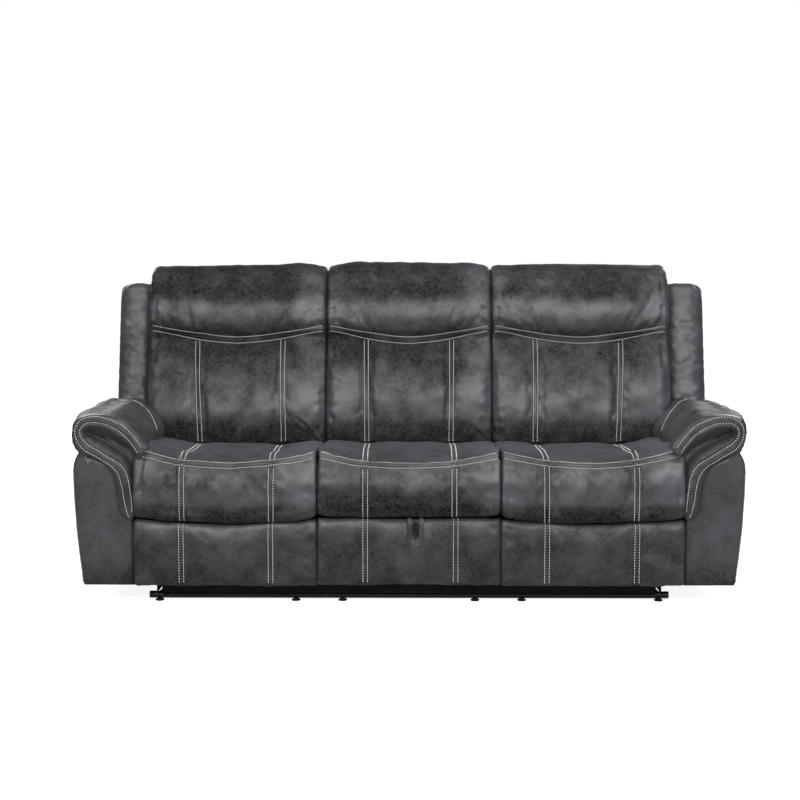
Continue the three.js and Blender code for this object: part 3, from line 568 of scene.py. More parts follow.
class Padding:
    """A padded form across X: an outline of Y and Z, drawn in at both ends, with sewn lines.

    channels are the X of the double sewn lines that run around it, and band is the length along
    the outline of the double line across it, at the middle and at the ends."""

    def __init__(self, name, curve, ends, channels=(), band=None, draw=0.026, crown=0.006,
                 leans=False, seed=1, channel_span=None, channel_depth=0.006, band_depth=0.011,
                 coarse=0.0085, end_round=END_ROUND, lump=0.0030, band_power=1.8, grooves=True,
                 shape=None, band_half=BAND_HALF, folds=()):
        self.name, self.curve, self.band_half = name, curve, band_half
        x0, x1 = ends
        self.middle = (x0 + x1) / 2
        self.half = (x1 - x0) / 2
        total = curve[1][-1]
        self.x = self.places(x0, x1, coarse, [(c, 0.012, 0.0016) for c in channels]
                             + [(x0, 0.02, 0.0035), (x1, 0.02, 0.0035)])
        band_place = [] if band is None else [(band[0], 0.016, 0.0016)]
        self.w = self.places(0, total, coarse, band_place)[:-1]
        t = (self.x - self.middle) / self.half
        shift = np.zeros_like(self.x)
        if band is not None:
            shift = (band[1] - band[0]) * np.abs(t) ** band_power
            away = self.w - band[0]
            spread = np.exp(-(away / 0.15) ** 2)
            w = self.w[None, :] + shift[:, None] * spread[None, :]
        else:
            away = np.full_like(self.w, 1.0)
            w = np.repeat(self.w[None, :], len(self.x), axis=0)
        yz = along(curve, w)
        centre = (curve[0].min(0) + curve[0].max(0)) / 2
        size = (curve[0].max(0) - curve[0].min(0)) / 2
        edge = np.minimum(self.x - x0, x1 - self.x)
        d = np.clip(1 - edge / end_round, 0, 1)
        inset = draw * (1 - np.sqrt(np.maximum(1 - d ** 2.2, 0))) + crown * np.abs(t) ** 3
        scale = 1 - inset[:, None] / size[None, :]
        yz = centre + (yz - centre) * scale[:, None, :]
        p = np.concatenate([np.repeat(self.x[:, None, None], len(self.w), axis=1), yz], axis=2)
        if shape is not None:
            p = shape(p, np.repeat(t[:, None], len(self.w), axis=1))
        self.band, self.channels, self.seed = band, channels, seed
        self.band_away = away
        away = np.repeat(away[None, :], len(self.x), axis=0)
        span = np.ones_like(self.w)
        if channel_span is not None:
            low, high = channel_span
            span = smooth_step((self.w - low) / 0.03) * smooth_step((high - self.w) / 0.03)
        dx = np.stack([self.x - c for c in channels]) if channels else np.ones((1, len(self.x)))
        inside = smooth_step(edge / 0.03)[:, None]
        field = lump * waves(p, seed, 0.22) * inside + 0.35 * lump * waves(p, seed + 1, 0.075) * inside
        for row in dx:
            line = np.exp(-(row / 0.026) ** 2)[:, None] * span[None, :]
            field = field - channel_depth * line
            ripple = np.sin(w * 2 * math.pi / 0.041 + 2.2 * waves(p, seed + 2, 0.11))
            beside = np.abs(row)[:, None]
            field = field + 0.0011 * ripple * np.exp(-(beside / 0.03) ** 2) * (beside > 0.012) * span
            if grooves:
                for offset in (-PAIR_HALF, PAIR_HALF):
                    cut = np.exp(-((row - offset) / 0.0021) ** 2)[:, None] * span[None, :]
                    field = field - 0.0026 * cut
        if band is not None:
            field = field - band_depth * np.exp(-(away / 0.024) ** 2)
            ripple = np.sin(p[..., 0] * 2 * math.pi / 0.047 + 2.4 * waves(p, seed + 3, 0.12))
            field = field + 0.0015 * ripple * np.exp(-(away / 0.045) ** 2) * (np.abs(away) > 0.014)
            for offset in (-band_half, band_half):
                field = field - 0.0030 * np.exp(-((away - offset) / 0.0022) ** 2)
        for start, end, width, depth in folds:
            field = field + depth * self.fold(p, start, end, width)
        ripple = np.sin(w * 2 * math.pi / 0.052 + 2.5 * waves(p, seed + 4, 0.13))
        field = field + 0.0016 * ripple * np.exp(-((edge - 0.022) / 0.022) ** 2)[:, None]
        self.base, self.field, self.span, self.leans, self.edge = p, field, span, leans, edge
        self.t = t
        self.calm = np.ones_like(field)
        self.painted_light = None
        self.w_rows = w

    @staticmethod
    def fold(p, start, end, width):
        """A crease in the front from start to end, places in X and Z, with a ridge beside it."""
        start, end = np.array(start), np.array(end)
        run = np.linalg.norm(end - start)
        u = (end - start) / run
        place = p[..., ::2] - start
        s = place @ u
        away = place @ np.array([-u[1], u[0]]) + 0.0022 * np.sin(s * 75)
        taper = smooth_step(s / (0.3 * run)) * smooth_step((run - s) / (0.25 * run) + 0.5)
        front = smooth_step((-0.09 - p[..., 1]) / 0.04)
        crease = 1.1 * np.exp(-((away - 1.5 * width) / (1.1 * width)) ** 2) - np.exp(-(away / width) ** 2)
        return crease * taper * front

    @staticmethod
    def places(low, high, coarse, closer):
        out = [low]
        while out[-1] < high:
            step = coarse
            for centre, reach, fine in closer:
                away = abs(out[-1] - centre)
                step = min(step, fine + (coarse - fine) * min(max((away - reach) / (2.5 * reach), 0), 1))
            out.append(out[-1] + step)
        out = np.array(out)
        return low + (out - low) * (high - low) / (out[-1] - low)

    def outward(self):
        """Outward normals of the base, and the sign that turns a grid's normals outward."""
        normals = grid_normals(self.base)
        rough = self.base[len(self.x) // 2]
        facing = np.einsum("ij,ij->i", normals[len(self.x) // 2], rough - rough.mean(0)).sum()
        sign = 1 if facing >= 0 else -1
        return normals * sign, sign

    def form(self, resting):
        """What blown_up needs: the free points are off the sewn lines, the ends and where it rests."""
        free = np.ones(self.base.shape[:2])
        for c in self.channels:
            near = np.exp(-((self.x - c) / 0.011) ** 2)[:, None] * self.span[None, :]
            free *= 1 - near
        if self.band is not None:
            free *= 1 - np.exp(-(self.band_away / 0.014) ** 2)[None, :]
        free *= smooth_step((self.edge - 0.006) / 0.012)[:, None]
        free *= 1 - resting(self.base)
        return self.base, self.outward()[0], free

    def build(self, material, move=None):
        normals, sign = self.outward()
        self.points = self.base + normals * self.field[..., None]
        if move is not None:
            self.points = self.points + move * self.calm[..., None]
        if self.leans:
            self.points = leaning(self.points)
        self.normals = grid_normals(self.points) * sign
        self.object = closed_grid(self.name, self.points, material)
        # Stores the painted highlight and shade on the mesh
        if self.painted_light is not None:
            grid_attribute(self.object, "painted_light", self.painted_light)
        return self.object

    def column(self, x):
        return np.interp(x, self.x, np.arange(len(self.x)))

    def row(self, w):
        return np.interp(w, self.w, np.arange(len(self.w)))

    def path(self, i, j):
        return grid_point(self.points, i, j), grid_point(self.normals, i, j)

    def stitches(self, name, spans, band_edge=0.0055, extra_rows=()):
        """Rows of stitches on the channels, over spans of outline length, and on the band."""
        verts, faces = [], []
        for c in self.channels:
            for offset in (-PAIR_HALF, PAIR_HALF):
                for low, high in spans:
                    j = np.arange(self.row(low), self.row(high), 0.5)
                    p, n = self.path(np.full_like(j, self.column(c + offset)), j)
                    stitch_rows(p, n, verts, faces)
        if self.band is not None:
            first, last = self.column(self.x[0] + band_edge), self.column(self.x[-1] - band_edge)
            i = np.arange(first, last, 0.5)
            for offset in (-self.band_half, self.band_half):
                p, n = self.path(i, np.full_like(i, self.row(self.band[0] + offset)))
                stitch_rows(p, n, verts, faces)
        for x_from, x_to, w in extra_rows:
            i = np.arange(self.column(x_from), self.column(x_to), 0.5)
            p, n = self.path(i, np.full_like(i, self.row(w)))
            stitch_rows(p, n, verts, faces)
        return new_object(name, verts, faces, THREAD)


def dress(piece, body, nodes=()):
    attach(piece, body)
    if nodes:
        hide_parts(*nodes)


# Seat cushions

SEAT_SHARES = [
    (0.17, 0.155), (0.161, 0.08), (0.1, 0.028), (0.05, 0.01), (0.022, -0.012), (0.004, 0.05),
    (-0.004, 0.17), (0, 0.39), (0.007, 0.62),
    (0.03, 0.8), (0.066, 0.91), (0.13, 0.972), (0.24, 0.998), (0.545, 0.99), (0.76, 0.955), (0.9, 0.9),
    (0.973, 0.81), (1, 0.63), (0.995, 0.33), (0.955, 0.155)]
SEAT_FRONT = -0.485
SEAT_DEPTH = 0.56
SEAT_BOTTOM = 0.284
SEAT_HEIGHT = 0.2
SEAT_CHANNELS = {"left": (-0.1355, 0.147), "middle": (-0.138, 0.1435), "right": (-0.1475, 0.136)}
BAY_HALF = 0.29

seat_curve = shares_outline(SEAT_SHARES, SEAT_FRONT, SEAT_DEPTH, SEAT_BOTTOM, SEAT_HEIGHT)
seat_band = (nearest(seat_curve, (-0.4545, 0.4585)), nearest(seat_curve, (-0.4435, 0.4685)))
seat_low = nearest(seat_curve, (-0.455, 0.300))
seat_rear = nearest(seat_curve, (0.02, 0.462))


def seat_shape(s):
    """The crest and the rear stand higher at the sides, most so by an arm, and the front lip hangs."""
    def shape(p, t):
        crest = np.exp(-((p[..., 1] + 0.40) / 0.085) ** 2) * smooth_step((p[..., 2] - 0.40) / 0.06)
        flat = smooth_step((p[..., 1] + 0.40) / 0.12) * smooth_step((p[..., 2] - 0.42) / 0.04)
        lip = smooth_step((0.36 - p[..., 2]) / 0.06)
        rise = np.where(t * s > 0, 0.053, 0.034)
        rise = rise * t**2 + 0.004 - 0.007 * smooth_step((t * s - 0.8) / 0.18)
        p[..., 2] += rise * crest + (0.004 if s == 0 else 0.001) * flat
        p[..., 2] += (0.026 * smooth_step((t * s - 0.45) / 0.5) + 0.012 * smooth_step((-t * s - 0.4) / 0.5)) * flat
        p[..., 2] += 0.007 * np.exp(-((p[..., 1] - 0.062) / 0.018) ** 2) * smooth_step((p[..., 2] - 0.42) / 0.015)
        if s == 0:
            p[..., 0] += 0.0045 * np.sin(math.pi * t) * smooth_step((p[..., 1] + 0.44) / 0.25)
            p[..., 2] += 0.012 * np.abs(t) ** 3 * flat + 0.014 * lip
        else:
            p[..., 2] += (0.015 * t**2 - 0.006) * lip
        return p
    return shape


# Painted light and shade by the distance from the band: a painted highlight above 0 and painted shade below it
SEAT_PAINTED_LIGHT = [(-0.25, -1), (-0.17, -1), (-0.148, -0.7), (-0.125, 0.25), (-0.05, -0.1), (0, 0.1), (0.06, 0.5),
            (0.4, 0.5)]
BACK_PAINTED_LIGHT = [(-0.36, -1), (-0.31, -0.9), (-0.28, -0.1), (-0.25, 0.3), (-0.2, 0.15), (-0.17, -0.15), (-0.14, -0.35),
            (-0.1, -0.65), (-0.05, -0.95), (-0.01, -0.9), (0.01, -0.7), (0.04, -0.35), (0.07, 0), (0.1, 0.35),
            (0.125, 0), (0.15, -0.6), (0.18, -1.1), (0.22, -0.9), (0.27, -0.7), (0.33, -0.5)]


def painted_light_by(table, padding):
    """The painted light and shade of a padding by a table: painted highlight towards its sides and most on the right,
    with random tone.
    """
    a = np.interp(padding.w - padding.band[0], *zip(*table))[None, :]
    side = 0.7 * smooth_step((padding.t - 0.55) / 0.35) + 0.3 * smooth_step((-padding.t - 0.75) / 0.2)
    return a + side[:, None] + 0.24 * waves(padding.base, 300 + padding.seed, 0.09)


padded_forms = []
for seed, (side, s) in enumerate(BAYS):
    cx = s * BAY
    cushion = Padding(f"{side}_seat_cover", seat_curve, (cx - BAY_HALF, cx + BAY_HALF),
                      [cx + x for x in SEAT_CHANNELS[side]], seat_band, draw=0.013, crown=0.002,
                      seed=20 + seed, channel_span=(seat_low, seat_rear), channel_depth=0.003,
                      band_depth=0.003, end_round=0.032, shape=seat_shape(s), band_half=0.0112)
    cushion.painted_light = painted_light_by(SEAT_PAINTED_LIGHT, cushion)
    if s == 0:
        # Painted shade: a darker band across the front of the middle seat
        cushion.painted_light = cushion.painted_light - 0.9 * np.exp(-((cushion.w - seat_band[0] + 0.115) / 0.035) ** 2)
    cushion.calm = 1 - 0.6 * smooth_step((cushion.base[..., 1] + 0.38) / 0.1)
    beside = cushion.band_half + 0.004
    spans = [(seat_low, seat_band[0] - beside), (seat_band[0] + beside, seat_rear)]
    padded_forms.append((cushion, "frame" if s == 0 else f"{side}_seat", f"{side}_seat_cushion", 0.75, spans,
                         lambda p: np.maximum(smooth_step((0.315 - p[..., 2]) / 0.02),
                                              smooth_step((p[..., 1] - 0.045) / 0.02))))


# Back cushions, wings and shells

BACK_SHARES = [
    (0.2, 0.012), (0.53, 0.003), (0.7, 0), (0.8, -0.006), (0.87, 0.006), (0.925, 0.06), (0.967, 0.19),
    (0.976, 0.325),
    (0.944, 0.436), (0.876, 0.529), (0.875, 0.566), (0.937, 0.602), (0.99, 0.666), (1, 0.759),
    (0.961, 0.855), (0.86, 0.934), (0.682, 0.982), (0.488, 1), (0.286, 0.992), (0.146, 0.962),
    (0.04, 0.92), (0, 0.87), (0, 0.5), (0, 0.05)]
SHELL_SHARES = [(0, 0), (0.45, 0), (0.62, 0.02), (0.7, 0.08), (0.86, 0.5), (0.98, 0.88), (1, 0.94),
                (0.93, 0.985), (0.72, 1), (0.3, 1), (0, 0.985), (0, 0.5)]
WING_SHARES = [(0, 0), (0.55, 0), (0.86, 0.012), (1, 0.05), (1, 0.5), (1, 0.9), (0.9, 0.965), (0.62, 1),
               (0.25, 1), (0, 0.985), (0, 0.5)]
BACK_THICK = 0.1986
BACK_BOTTOM = 0.025
BACK_HEIGHT = 0.6702
BACK_CHANNEL = 0.151
BACK_OUTER = 0.918
BACK_CENTRE = 0.597
SHELL_FRONT = 0.0186
SHELL_DEPTH = 0.137
SHELL_BOTTOM = 0.024
SHELL_HEIGHT = 0.608
WING_FROM = 0.927
BACK_EDGE = 1.064
WING_EDGES = {"left": 1.048, "right": 1.064}
WING_THICK = 0.075
WING_BOTTOM = 0.026
WING_HEIGHT = 0.602

back_curve = shares_outline(BACK_SHARES, 0, -BACK_THICK, BACK_BOTTOM, BACK_HEIGHT)
neck_z = BACK_BOTTOM + 0.548 * BACK_HEIGHT
back_band = (nearest(back_curve, (-0.873 * BACK_THICK, neck_z)),
             nearest(back_curve, (-0.95 * BACK_THICK, neck_z + 0.043)))
back_low = nearest(back_curve, (-0.87 * BACK_THICK, BACK_BOTTOM + 0.006 * BACK_HEIGHT))
shell_curve = shares_outline(SHELL_SHARES, SHELL_FRONT, SHELL_DEPTH, SHELL_BOTTOM, SHELL_HEIGHT)
wing_curve = shares_outline(WING_SHARES, 0, -WING_THICK, WING_BOTTOM, WING_HEIGHT)


def back_shape(by, peak=None, slants=(), drop=0):
    """Lowers a back cushion's top, apart from round a peak at that X, and more so at both ends by
    the drop, and slants its channels."""
    def shape(p, t):
        share = np.ones_like(t)
        if peak is not None:
            share = 1 - 0.8 * np.exp(-((p[..., 0] - peak) / 0.075) ** 2)
        ends = drop * smooth_step((np.abs(t) - 0.6) / 0.4) ** 1.5
        p[..., 2] -= (by * share + ends) * smooth_step((p[..., 2] - 0.45) / 0.2)
        down = np.clip((neck_z - p[..., 2]) / (neck_z - BACK_BOTTOM), 0, 1)
        place = p[..., 0].copy()
        for x, slant in slants:
            p[..., 0] += slant * np.exp(-((place - x) / 0.06) ** 2) * down
        return p
    return shape


back_shapes = {"left": back_shape(0.013, -0.392, [(-0.748, 0.018), (-0.446, 0.007)]),
               "middle": back_shape(0.001, None, [(-0.151, 0.004), (0.151, -0.004)], 0.010),
               "right": back_shape(0.009, None, [(0.748, -0.016), (0.446, -0.005)])}
back_folds = {"left": [((-0.398, 0.125), (-0.309, 0.022), 0.0045, 0.0062),
                       ((-0.412, 0.103), (-0.335, 0.038), 0.0045, 0.0045),
                       ((-0.335, 0.36), (-0.302, 0.325), 0.004, 0.003)],
              "middle": [((0.215, 0.095), (0.275, 0.03), 0.005, 0.004),
                         ((0.235, 0.37), (0.272, 0.335), 0.004, 0.003)],
              "right": [((0.84, 0.10), (0.9, 0.035), 0.005, 0.004)]}
for seed, (side, s) in enumerate(BAYS):
    inner = BAY - BAY_HALF
    ends = (-BAY_HALF, BAY_HALF) if s == 0 else tuple(sorted((s * inner, s * BACK_OUTER)))
    cx = sum(ends) / 2
    cushion = Padding(f"{side}_back_cover", back_curve, ends,
                      [s * BACK_CENTRE - BACK_CHANNEL, s * BACK_CENTRE + BACK_CHANNEL],
                      back_band, draw=0.015, crown=0.004, leans=True, seed=40 + 7 * seed,
                      channel_span=(back_low, back_band[0]), channel_depth=0.004, band_depth=0.004,
                      band_power=1.6, end_round=0.036, shape=back_shapes[side],
                      folds=back_folds[side])
    # Painted light: a painted highlight on the right cushion and painted shade on the left, on top of the table's bands
    cushion.painted_light = painted_light_by(BACK_PAINTED_LIGHT, cushion) + 0.15 * s
    cushion.calm = 1 - 0.7 * smooth_step((cushion.base[..., 2] - 0.63) / 0.04)
    body = "frame" if s == 0 else f"{side}_back"
    padded_forms.append((cushion, body, f"{side}_back_cushion", 0.8, [(back_low, back_band[0] - BAND_HALF - 0.004)],
                         lambda p: np.maximum(smooth_step((p[..., 1] + 0.05) / 0.03),
                                              smooth_step((0.04 - p[..., 2]) / 0.02))))
    ends = (-BAY_HALF, BAY_HALF) if s == 0 else tuple(sorted((s * inner, s * BACK_EDGE)))
    shell = Padding(f"{side}_shell_cover", shell_curve, ends, draw=0.014, leans=True, seed=60 + seed,
                    lump=0.002, coarse=0.014)
    dress(shell.build(FABRIC), body, nodes=[f"{side}_back_shell"])
for seed, (side, s) in enumerate(SIDES):
    ends = tuple(sorted((s * WING_FROM, s * WING_EDGES[side])))
    wing = Padding(f"{side}_wing_cover", wing_curve, ends, draw=0.022, leans=True, seed=70 + seed,
                   lump=0.0016, coarse=0.008, end_round=0.05)
    # Painted light: the right wing lighter and the left darker
    wing.painted_light = np.full(wing.base.shape[:2], 0.35 if s < 0 else 0.6)
    padded_forms.append((wing, f"{side}_back", f"{side}_back_wing", 0.7, [],
                         lambda p: np.maximum(smooth_step((p[..., 1] + 0.025) / 0.015),
                                              smooth_step((0.04 - p[..., 2]) / 0.02))))


# Footrest pads and the drawer's front

PANEL_SHARES = [(1, 0.06), (0.8, 0.01), (0.4, 0), (0.12, 0.05), (0, 0.2), (0.02, 0.5), (0, 0.8), (0.08, 0.93),
                (0.3, 1), (0.62, 0.985), (0.85, 0.93), (1, 0.84)]
PANEL_HALF = 0.2908
LOOP_X = 0.021
PANEL_CHANNELS = {"left": (-0.140, 0.144), "middle": (-0.1385, 0.1485), "right": (-0.145, 0.140)}
panel_curve = shares_outline(PANEL_SHARES, -0.475, 0.0497, 0.067, 0.217)
panel_low = nearest(panel_curve, (-0.468, 0.082))
panel_high = nearest(panel_curve, (-0.455, 0.284))


def panel_shape(s):
    """The top follows the lip of the seat above it, and the drawer's front stands a little higher."""
    def shape(p, t):
        top = smooth_step((p[..., 2] - 0.18) / 0.1)
        if s == 0:
            p[..., 2] += 0.008 * top + 0.003 * smooth_step((0.14 - p[..., 2]) / 0.07)
        else:
            p[..., 2] += (0.013 * t**2 - 0.009) * top
        return p
    return shape


for seed, (side, s) in enumerate(BAYS):
    cx = s * BAY
    pad = Padding(f"{side}_panel_cover", panel_curve, (cx - PANEL_HALF, cx + PANEL_HALF),
                  [cx + x for x in PANEL_CHANNELS[side]], draw=0.007, crown=0.001, seed=80 + seed,
                  channel_span=(panel_low, panel_high), channel_depth=0.002, lump=0.0013,
                  end_round=0.022, shape=panel_shape(s))
    if s == 0:
        slot = np.exp(-(((pad.base[..., 0] - LOOP_X) / 0.0085) ** 4 + ((pad.base[..., 2] - 0.254) / 0.03) ** 4))
        pad.field = pad.field - 0.012 * slot * (pad.base[..., 1] < -0.45)
    # Painted highlight along the top of each footrest pad, with random tone below it
    top = smooth_step((pad.base[..., 2] - 0.205) / 0.065)
    pad.painted_light = 0.24 * waves(pad.base, 380 + seed, 0.09) - 0.25 + 0.45 * top
    pad.calm = 1 - 0.6 * top
    # Painted shade in the slot behind the pull loop, over the real recess
    if s == 0:
        pad.painted_light = pad.painted_light - 2.5 * slot
    body, node = ("drawer", "drawer_front_pad") if s == 0 else (f"{side}_footrest", f"{side}_footrest_pad")
    padded_forms.append((pad, body, node, 0.7, [(panel_low, panel_high)],
                         lambda p: smooth_step((p[..., 1] + 0.452) / 0.008)))

moves = blown_up([padding.form(resting) for padding, *_, resting in padded_forms])
for (padding, body, node, fill, spans, _), move in zip(padded_forms, moves):
    dress(padding.build(FABRIC, move), body, nodes=[node])
    if spans:
        rows = padding.stitches(padding.name.replace("cover", "stitches"), spans)
        dress(rows, body)


APRON_SHARES = [(0, 0.02), (0.5, 0), (1, 0.02), (1, 0.3), (1, 0.7), (1, 0.98), (0.5, 1), (0, 0.98), (0, 0.5)]
apron_curve = shares_outline(APRON_SHARES, 0.3317, 0.018, 0.078, 0.252)
apron = Padding("rear_apron_cover", apron_curve, (-0.873, 0.873), draw=0.004, crown=0.0, seed=150,
                coarse=0.02, end_round=0.012, lump=0.0012)
dress(apron.build(FABRIC), "frame", nodes=["rear_apron"])


def cloth_strip(name, rows, thickness=0.0012, material=None):
    """A thin cloth from rows of points, with an edge all round."""
    p = np.array(rows)
    nu, nv = p.shape[:2]
    du, dv = np.gradient(p, axis=0), np.gradient(p, axis=1)
    n = np.cross(du, dv)
    n /= np.linalg.norm(n, axis=-1, keepdims=True)
    verts = np.concatenate([(p + n * thickness / 2).reshape(-1, 3), (p - n * thickness / 2).reshape(-1, 3)])
    faces = []
    top, low = 0, nu * nv
    for i in range(nu - 1):
        for j in range(nv - 1):
            a, b, c, d = i * nv + j, i * nv + j + 1, (i + 1) * nv + j + 1, (i + 1) * nv + j
            faces += [(top + a, top + b, top + c, top + d), (low + d, low + c, low + b, low + a)]
    rim = [(0, j) for j in range(nv)] + [(i, nv - 1) for i in range(1, nu)]
    rim += [(nu - 1, j) for j in range(nv - 2, -1, -1)] + [(i, 0) for i in range(nu - 2, 0, -1)]
    for (a, b), (c, d) in zip(rim, rim[1:] + rim[:1]):
        faces.append((top + a * nv + b, low + a * nv + b, low + c * nv + d, top + c * nv + d))
    if signed_volume(verts, faces) < 0:
        faces = [tuple(reversed(face)) for face in faces]
    return new_object(name, verts, faces, material or FABRIC)


FLAP_TOP = (0.292, 0.412)
FLAP_LENGTH = 0.106
BAY_SPANS = (("left", -0.868, -0.302), ("middle", -0.284, 0.284), ("right", 0.302, 0.868))
for seed, (side, x0, x1) in enumerate(BAY_SPANS):
    rows = []
    for share in np.linspace(0, 1, 12):
        x = np.linspace(x0, x1, 90)
        hang = np.stack([x, np.full_like(x, FLAP_TOP[0]), FLAP_TOP[1] - FLAP_LENGTH * share * np.ones_like(x)], 1)
        hang[:, 1] += 0.004 * share + 0.0035 * share * np.sin(x * 41 + seed) + 0.002 * share * np.sin(x * 97)
        rows.append(hang)
    flap = cloth_strip(f"{side}_rear_flap", rows)
    dress(flap, "frame" if side == "middle" else f"{side}_back")
    inner, outer = x0, x1
    if side != "middle":
        inner, outer = sorted((math.copysign(0.296, x0), math.copysign(1.006, x0)))
    rows = []
    for y, z in ((-0.003, 0.624), (-0.002, 0.631), (0.004, 0.6345), (0.012, 0.6345), (0.0195, 0.6315),
                 (0.021, 0.625)):
        x = np.linspace(inner, outer, 60)
        rows.append(leaning(np.stack([x, np.full_like(x, y), z + 0.0006 * np.sin(x * 60)], 1)))
    strip = cloth_strip(f"{side}_top_strip", rows, 0.0016)
    dress(strip, "frame" if side == "middle" else f"{side}_back")
# Dark dust covers under the two recliner bays: a real dust cover, made dark also to stand for the shade under the seats
# as painted shade
for side, x0, x1 in (BAY_SPANS[0], BAY_SPANS[2]):
    near, far = sorted((math.copysign(0.354, x0), math.copysign(0.812, x0)))
    rows = []
    for y in np.linspace(-0.364, 0.300, 40):
        x = np.linspace(near, far, 24)
        sag = 0.009 * math.sin(math.pi * (y + 0.364) / 0.664) ** 0.7
        rows.append(np.stack([x, np.full_like(x, y), 0.0325 - sag - 0.0015 * np.sin(x * 50 + y * 30) * sag / 0.009], 1))
    cover = cloth_strip(f"{side}_dust_cover", rows, 0.0008, FINISHES["strap"])
    dress(cover, "frame")

LINING_SHARES = [(0, 0), (1, 0), (1, 0.25), (1, 0.5), (1, 0.75), (1, 1), (0, 1), (0, 0.5)]
lining_curve = shares_outline(LINING_SHARES, -0.3715, 0.006, 0.064, 0.219)
for seed, (side, s) in enumerate(SIDES):
    lining = Padding(f"{side}_bay_lining", lining_curve, tuple(sorted((s * 0.2625, s * 0.3025))), draw=0.001,
                     crown=0.0, seed=160 + seed, coarse=0.01, end_round=0.004, lump=0.0006)
    dress(lining.build(FINISHES["strap"]), "frame")


def pull_loop():
    """A narrow loop of gathered fabric that hangs over the top of the drawer front."""
    half, top, bottom, front = 0.0190, 0.2925, 0.2255, -0.4812
    leg = [(-0.425, top), (-0.452, top), (-0.466, top - 0.0008), (-0.4755, top - 0.006), (front, top - 0.017),
           (front - 0.0004, 0.250), (front, bottom)]
    arc = [(half * math.cos(a), bottom - half * 1.15 * math.sin(a)) for a in np.linspace(0, math.pi, 9)[1:-1]]
    path = [(half, y, z) for y, z in leg]
    path += [(x, front, z) for x, z in arc]
    path += [(-half, y, z) for y, z in reversed(leg)]
    path = through(path, 150) + np.array([LOOP_X, 0, 0])
    tangent = np.gradient(path, axis=0)
    tangent /= np.linalg.norm(tangent, axis=1, keepdims=True)
    rings = []
    for k, (point, along_it) in enumerate(zip(path, tangent)):
        rise = smooth_step((point[1] - front - 0.002) / 0.018)
        out = np.array([0, -1 + rise, rise])
        out /= np.linalg.norm(out)
        side = np.cross(along_it, out)
        side /= np.linalg.norm(side)
        gather = 1 + 0.06 * math.sin(k * 0.55) + 0.05 * math.sin(k * 1.27 + 1)
        ring = []
        for a in np.linspace(0, 2 * math.pi, 20, endpoint=False):
            fold = 1 + 0.16 * math.cos(3 * a + 0.12 * k)
            ring.append(point + side * 0.0072 * gather * math.cos(a)
                        + out * 0.0030 * fold * math.copysign(abs(math.sin(a)) ** 0.8, math.sin(a)))
        rings.append(ring)
    return closed_grid("pull_loop_cover", np.array(rings), FABRIC)


# Arms: a flat sided body, a roll on top and a comma shaped scroll in front, all as for a right arm

ARM_INNER = 0.8754
ARM_FRONT = -0.440
ARM_REAR = 0.400
ARM_BOTTOM = 0.075
ARM_TOP = 0.456
ARM_TUCK = 0.052
PAD_TOP = 0.614
PAD_WIDTH = 0.196
PAD_SHARES = [
    (0.05, 0), (0.005, 0.04), (-0.1, 0.22), (-0.146, 0.37), (-0.1, 0.56), (0.05, 0.79), (0.27, 0.94),
    (0.51, 1), (0.76, 1.0), (0.87, 0.975), (0.955, 0.9), (1, 0.77), (1.005, 0.61), (0.985, 0.45),
    (0.93, 0.3), (0.85, 0.18), (0.75, 0)]
OUTER_SIDE = [(0.067, 1.046), (0.16, 1.057), (0.25, 1.0655), (0.36, 1.071), (0.43, 1.072), (0.46, 1.069),
              (0.48, 1.062), (0.50, 1.050), (0.512, 1.040)]
SLOPE = [(-0.440, 0.456), (0.118, 0.456), (0.140, 0.395), (0.400, 0.240)]
SEAM_TO_STITCHES = 0.006
SEAM_LOW_Z = 0.530
SEAM_OUTER_X = 1.012
# From the seat round the nose to the tail: rim, outer stitches, inner stitches and inner crease
SCROLL = [
    ((0.823, 0.521), (0.837, 0.505), (0.850, 0.487), (0.858, 0.474)),
    ((0.840, 0.546), (0.853, 0.531), (0.867, 0.517), (0.877, 0.496)),
    ((0.863, 0.573), (0.876, 0.560), (0.889, 0.546), (0.908, 0.516)),
    ((0.890, 0.598), (0.900, 0.585), (0.917, 0.570), (0.937, 0.532)),
    ((0.922, 0.613), (0.929, 0.600), (0.946, 0.586), (0.961, 0.545)),
    ((0.954, 0.619), (0.956, 0.610), (0.973, 0.594), (0.984, 0.553)),
    ((0.985, 0.621), (0.985, 0.615), (0.999, 0.596), (0.999, 0.557)),
    ((1.018, 0.619), (1.015, 0.612), (1.017, 0.593), (1.007, 0.561)),
    ((1.045, 0.608), (1.039, 0.599), (1.030, 0.584), (1.013, 0.562)),
    ((1.061, 0.581), (1.052, 0.577), (1.038, 0.571), (1.015, 0.562)),
    ((1.063, 0.550), (1.052, 0.551), (1.037, 0.554), (1.014, 0.561)),
    ((1.055, 0.521), (1.042, 0.528), (1.028, 0.540), (1.011, 0.559)),
    ((1.037, 0.498), (1.025, 0.509), (1.014, 0.527), (1.006, 0.557)),
    ((1.007, 0.482), (0.996, 0.492), (0.988, 0.511), (0.990, 0.550)),
    ((0.979, 0.467), (0.969, 0.475), (0.963, 0.495), (0.967, 0.540)),
    ((0.954, 0.445), (0.941, 0.457), (0.937, 0.478), (0.939, 0.522)),
    ((0.940, 0.417), (0.923, 0.437), (0.914, 0.464), (0.909, 0.503)),
    ((0.934, 0.390), (0.913, 0.411), (0.898, 0.443), (0.887, 0.481)),
    ((0.932, 0.364), (0.907, 0.384), (0.889, 0.418), (0.877, 0.453)),
    ((0.929, 0.337), (0.903, 0.352), (0.884, 0.387), (0.872, 0.415)),
    ((0.923, 0.308), (0.897, 0.322), (0.880, 0.352), (0.869, 0.374)),
    ((0.910, 0.293), (0.891, 0.300), (0.878, 0.321), (0.867, 0.333)),
    ((0.888, 0.280), (0.882, 0.284), (0.874, 0.293), (0.866, 0.296)),
]


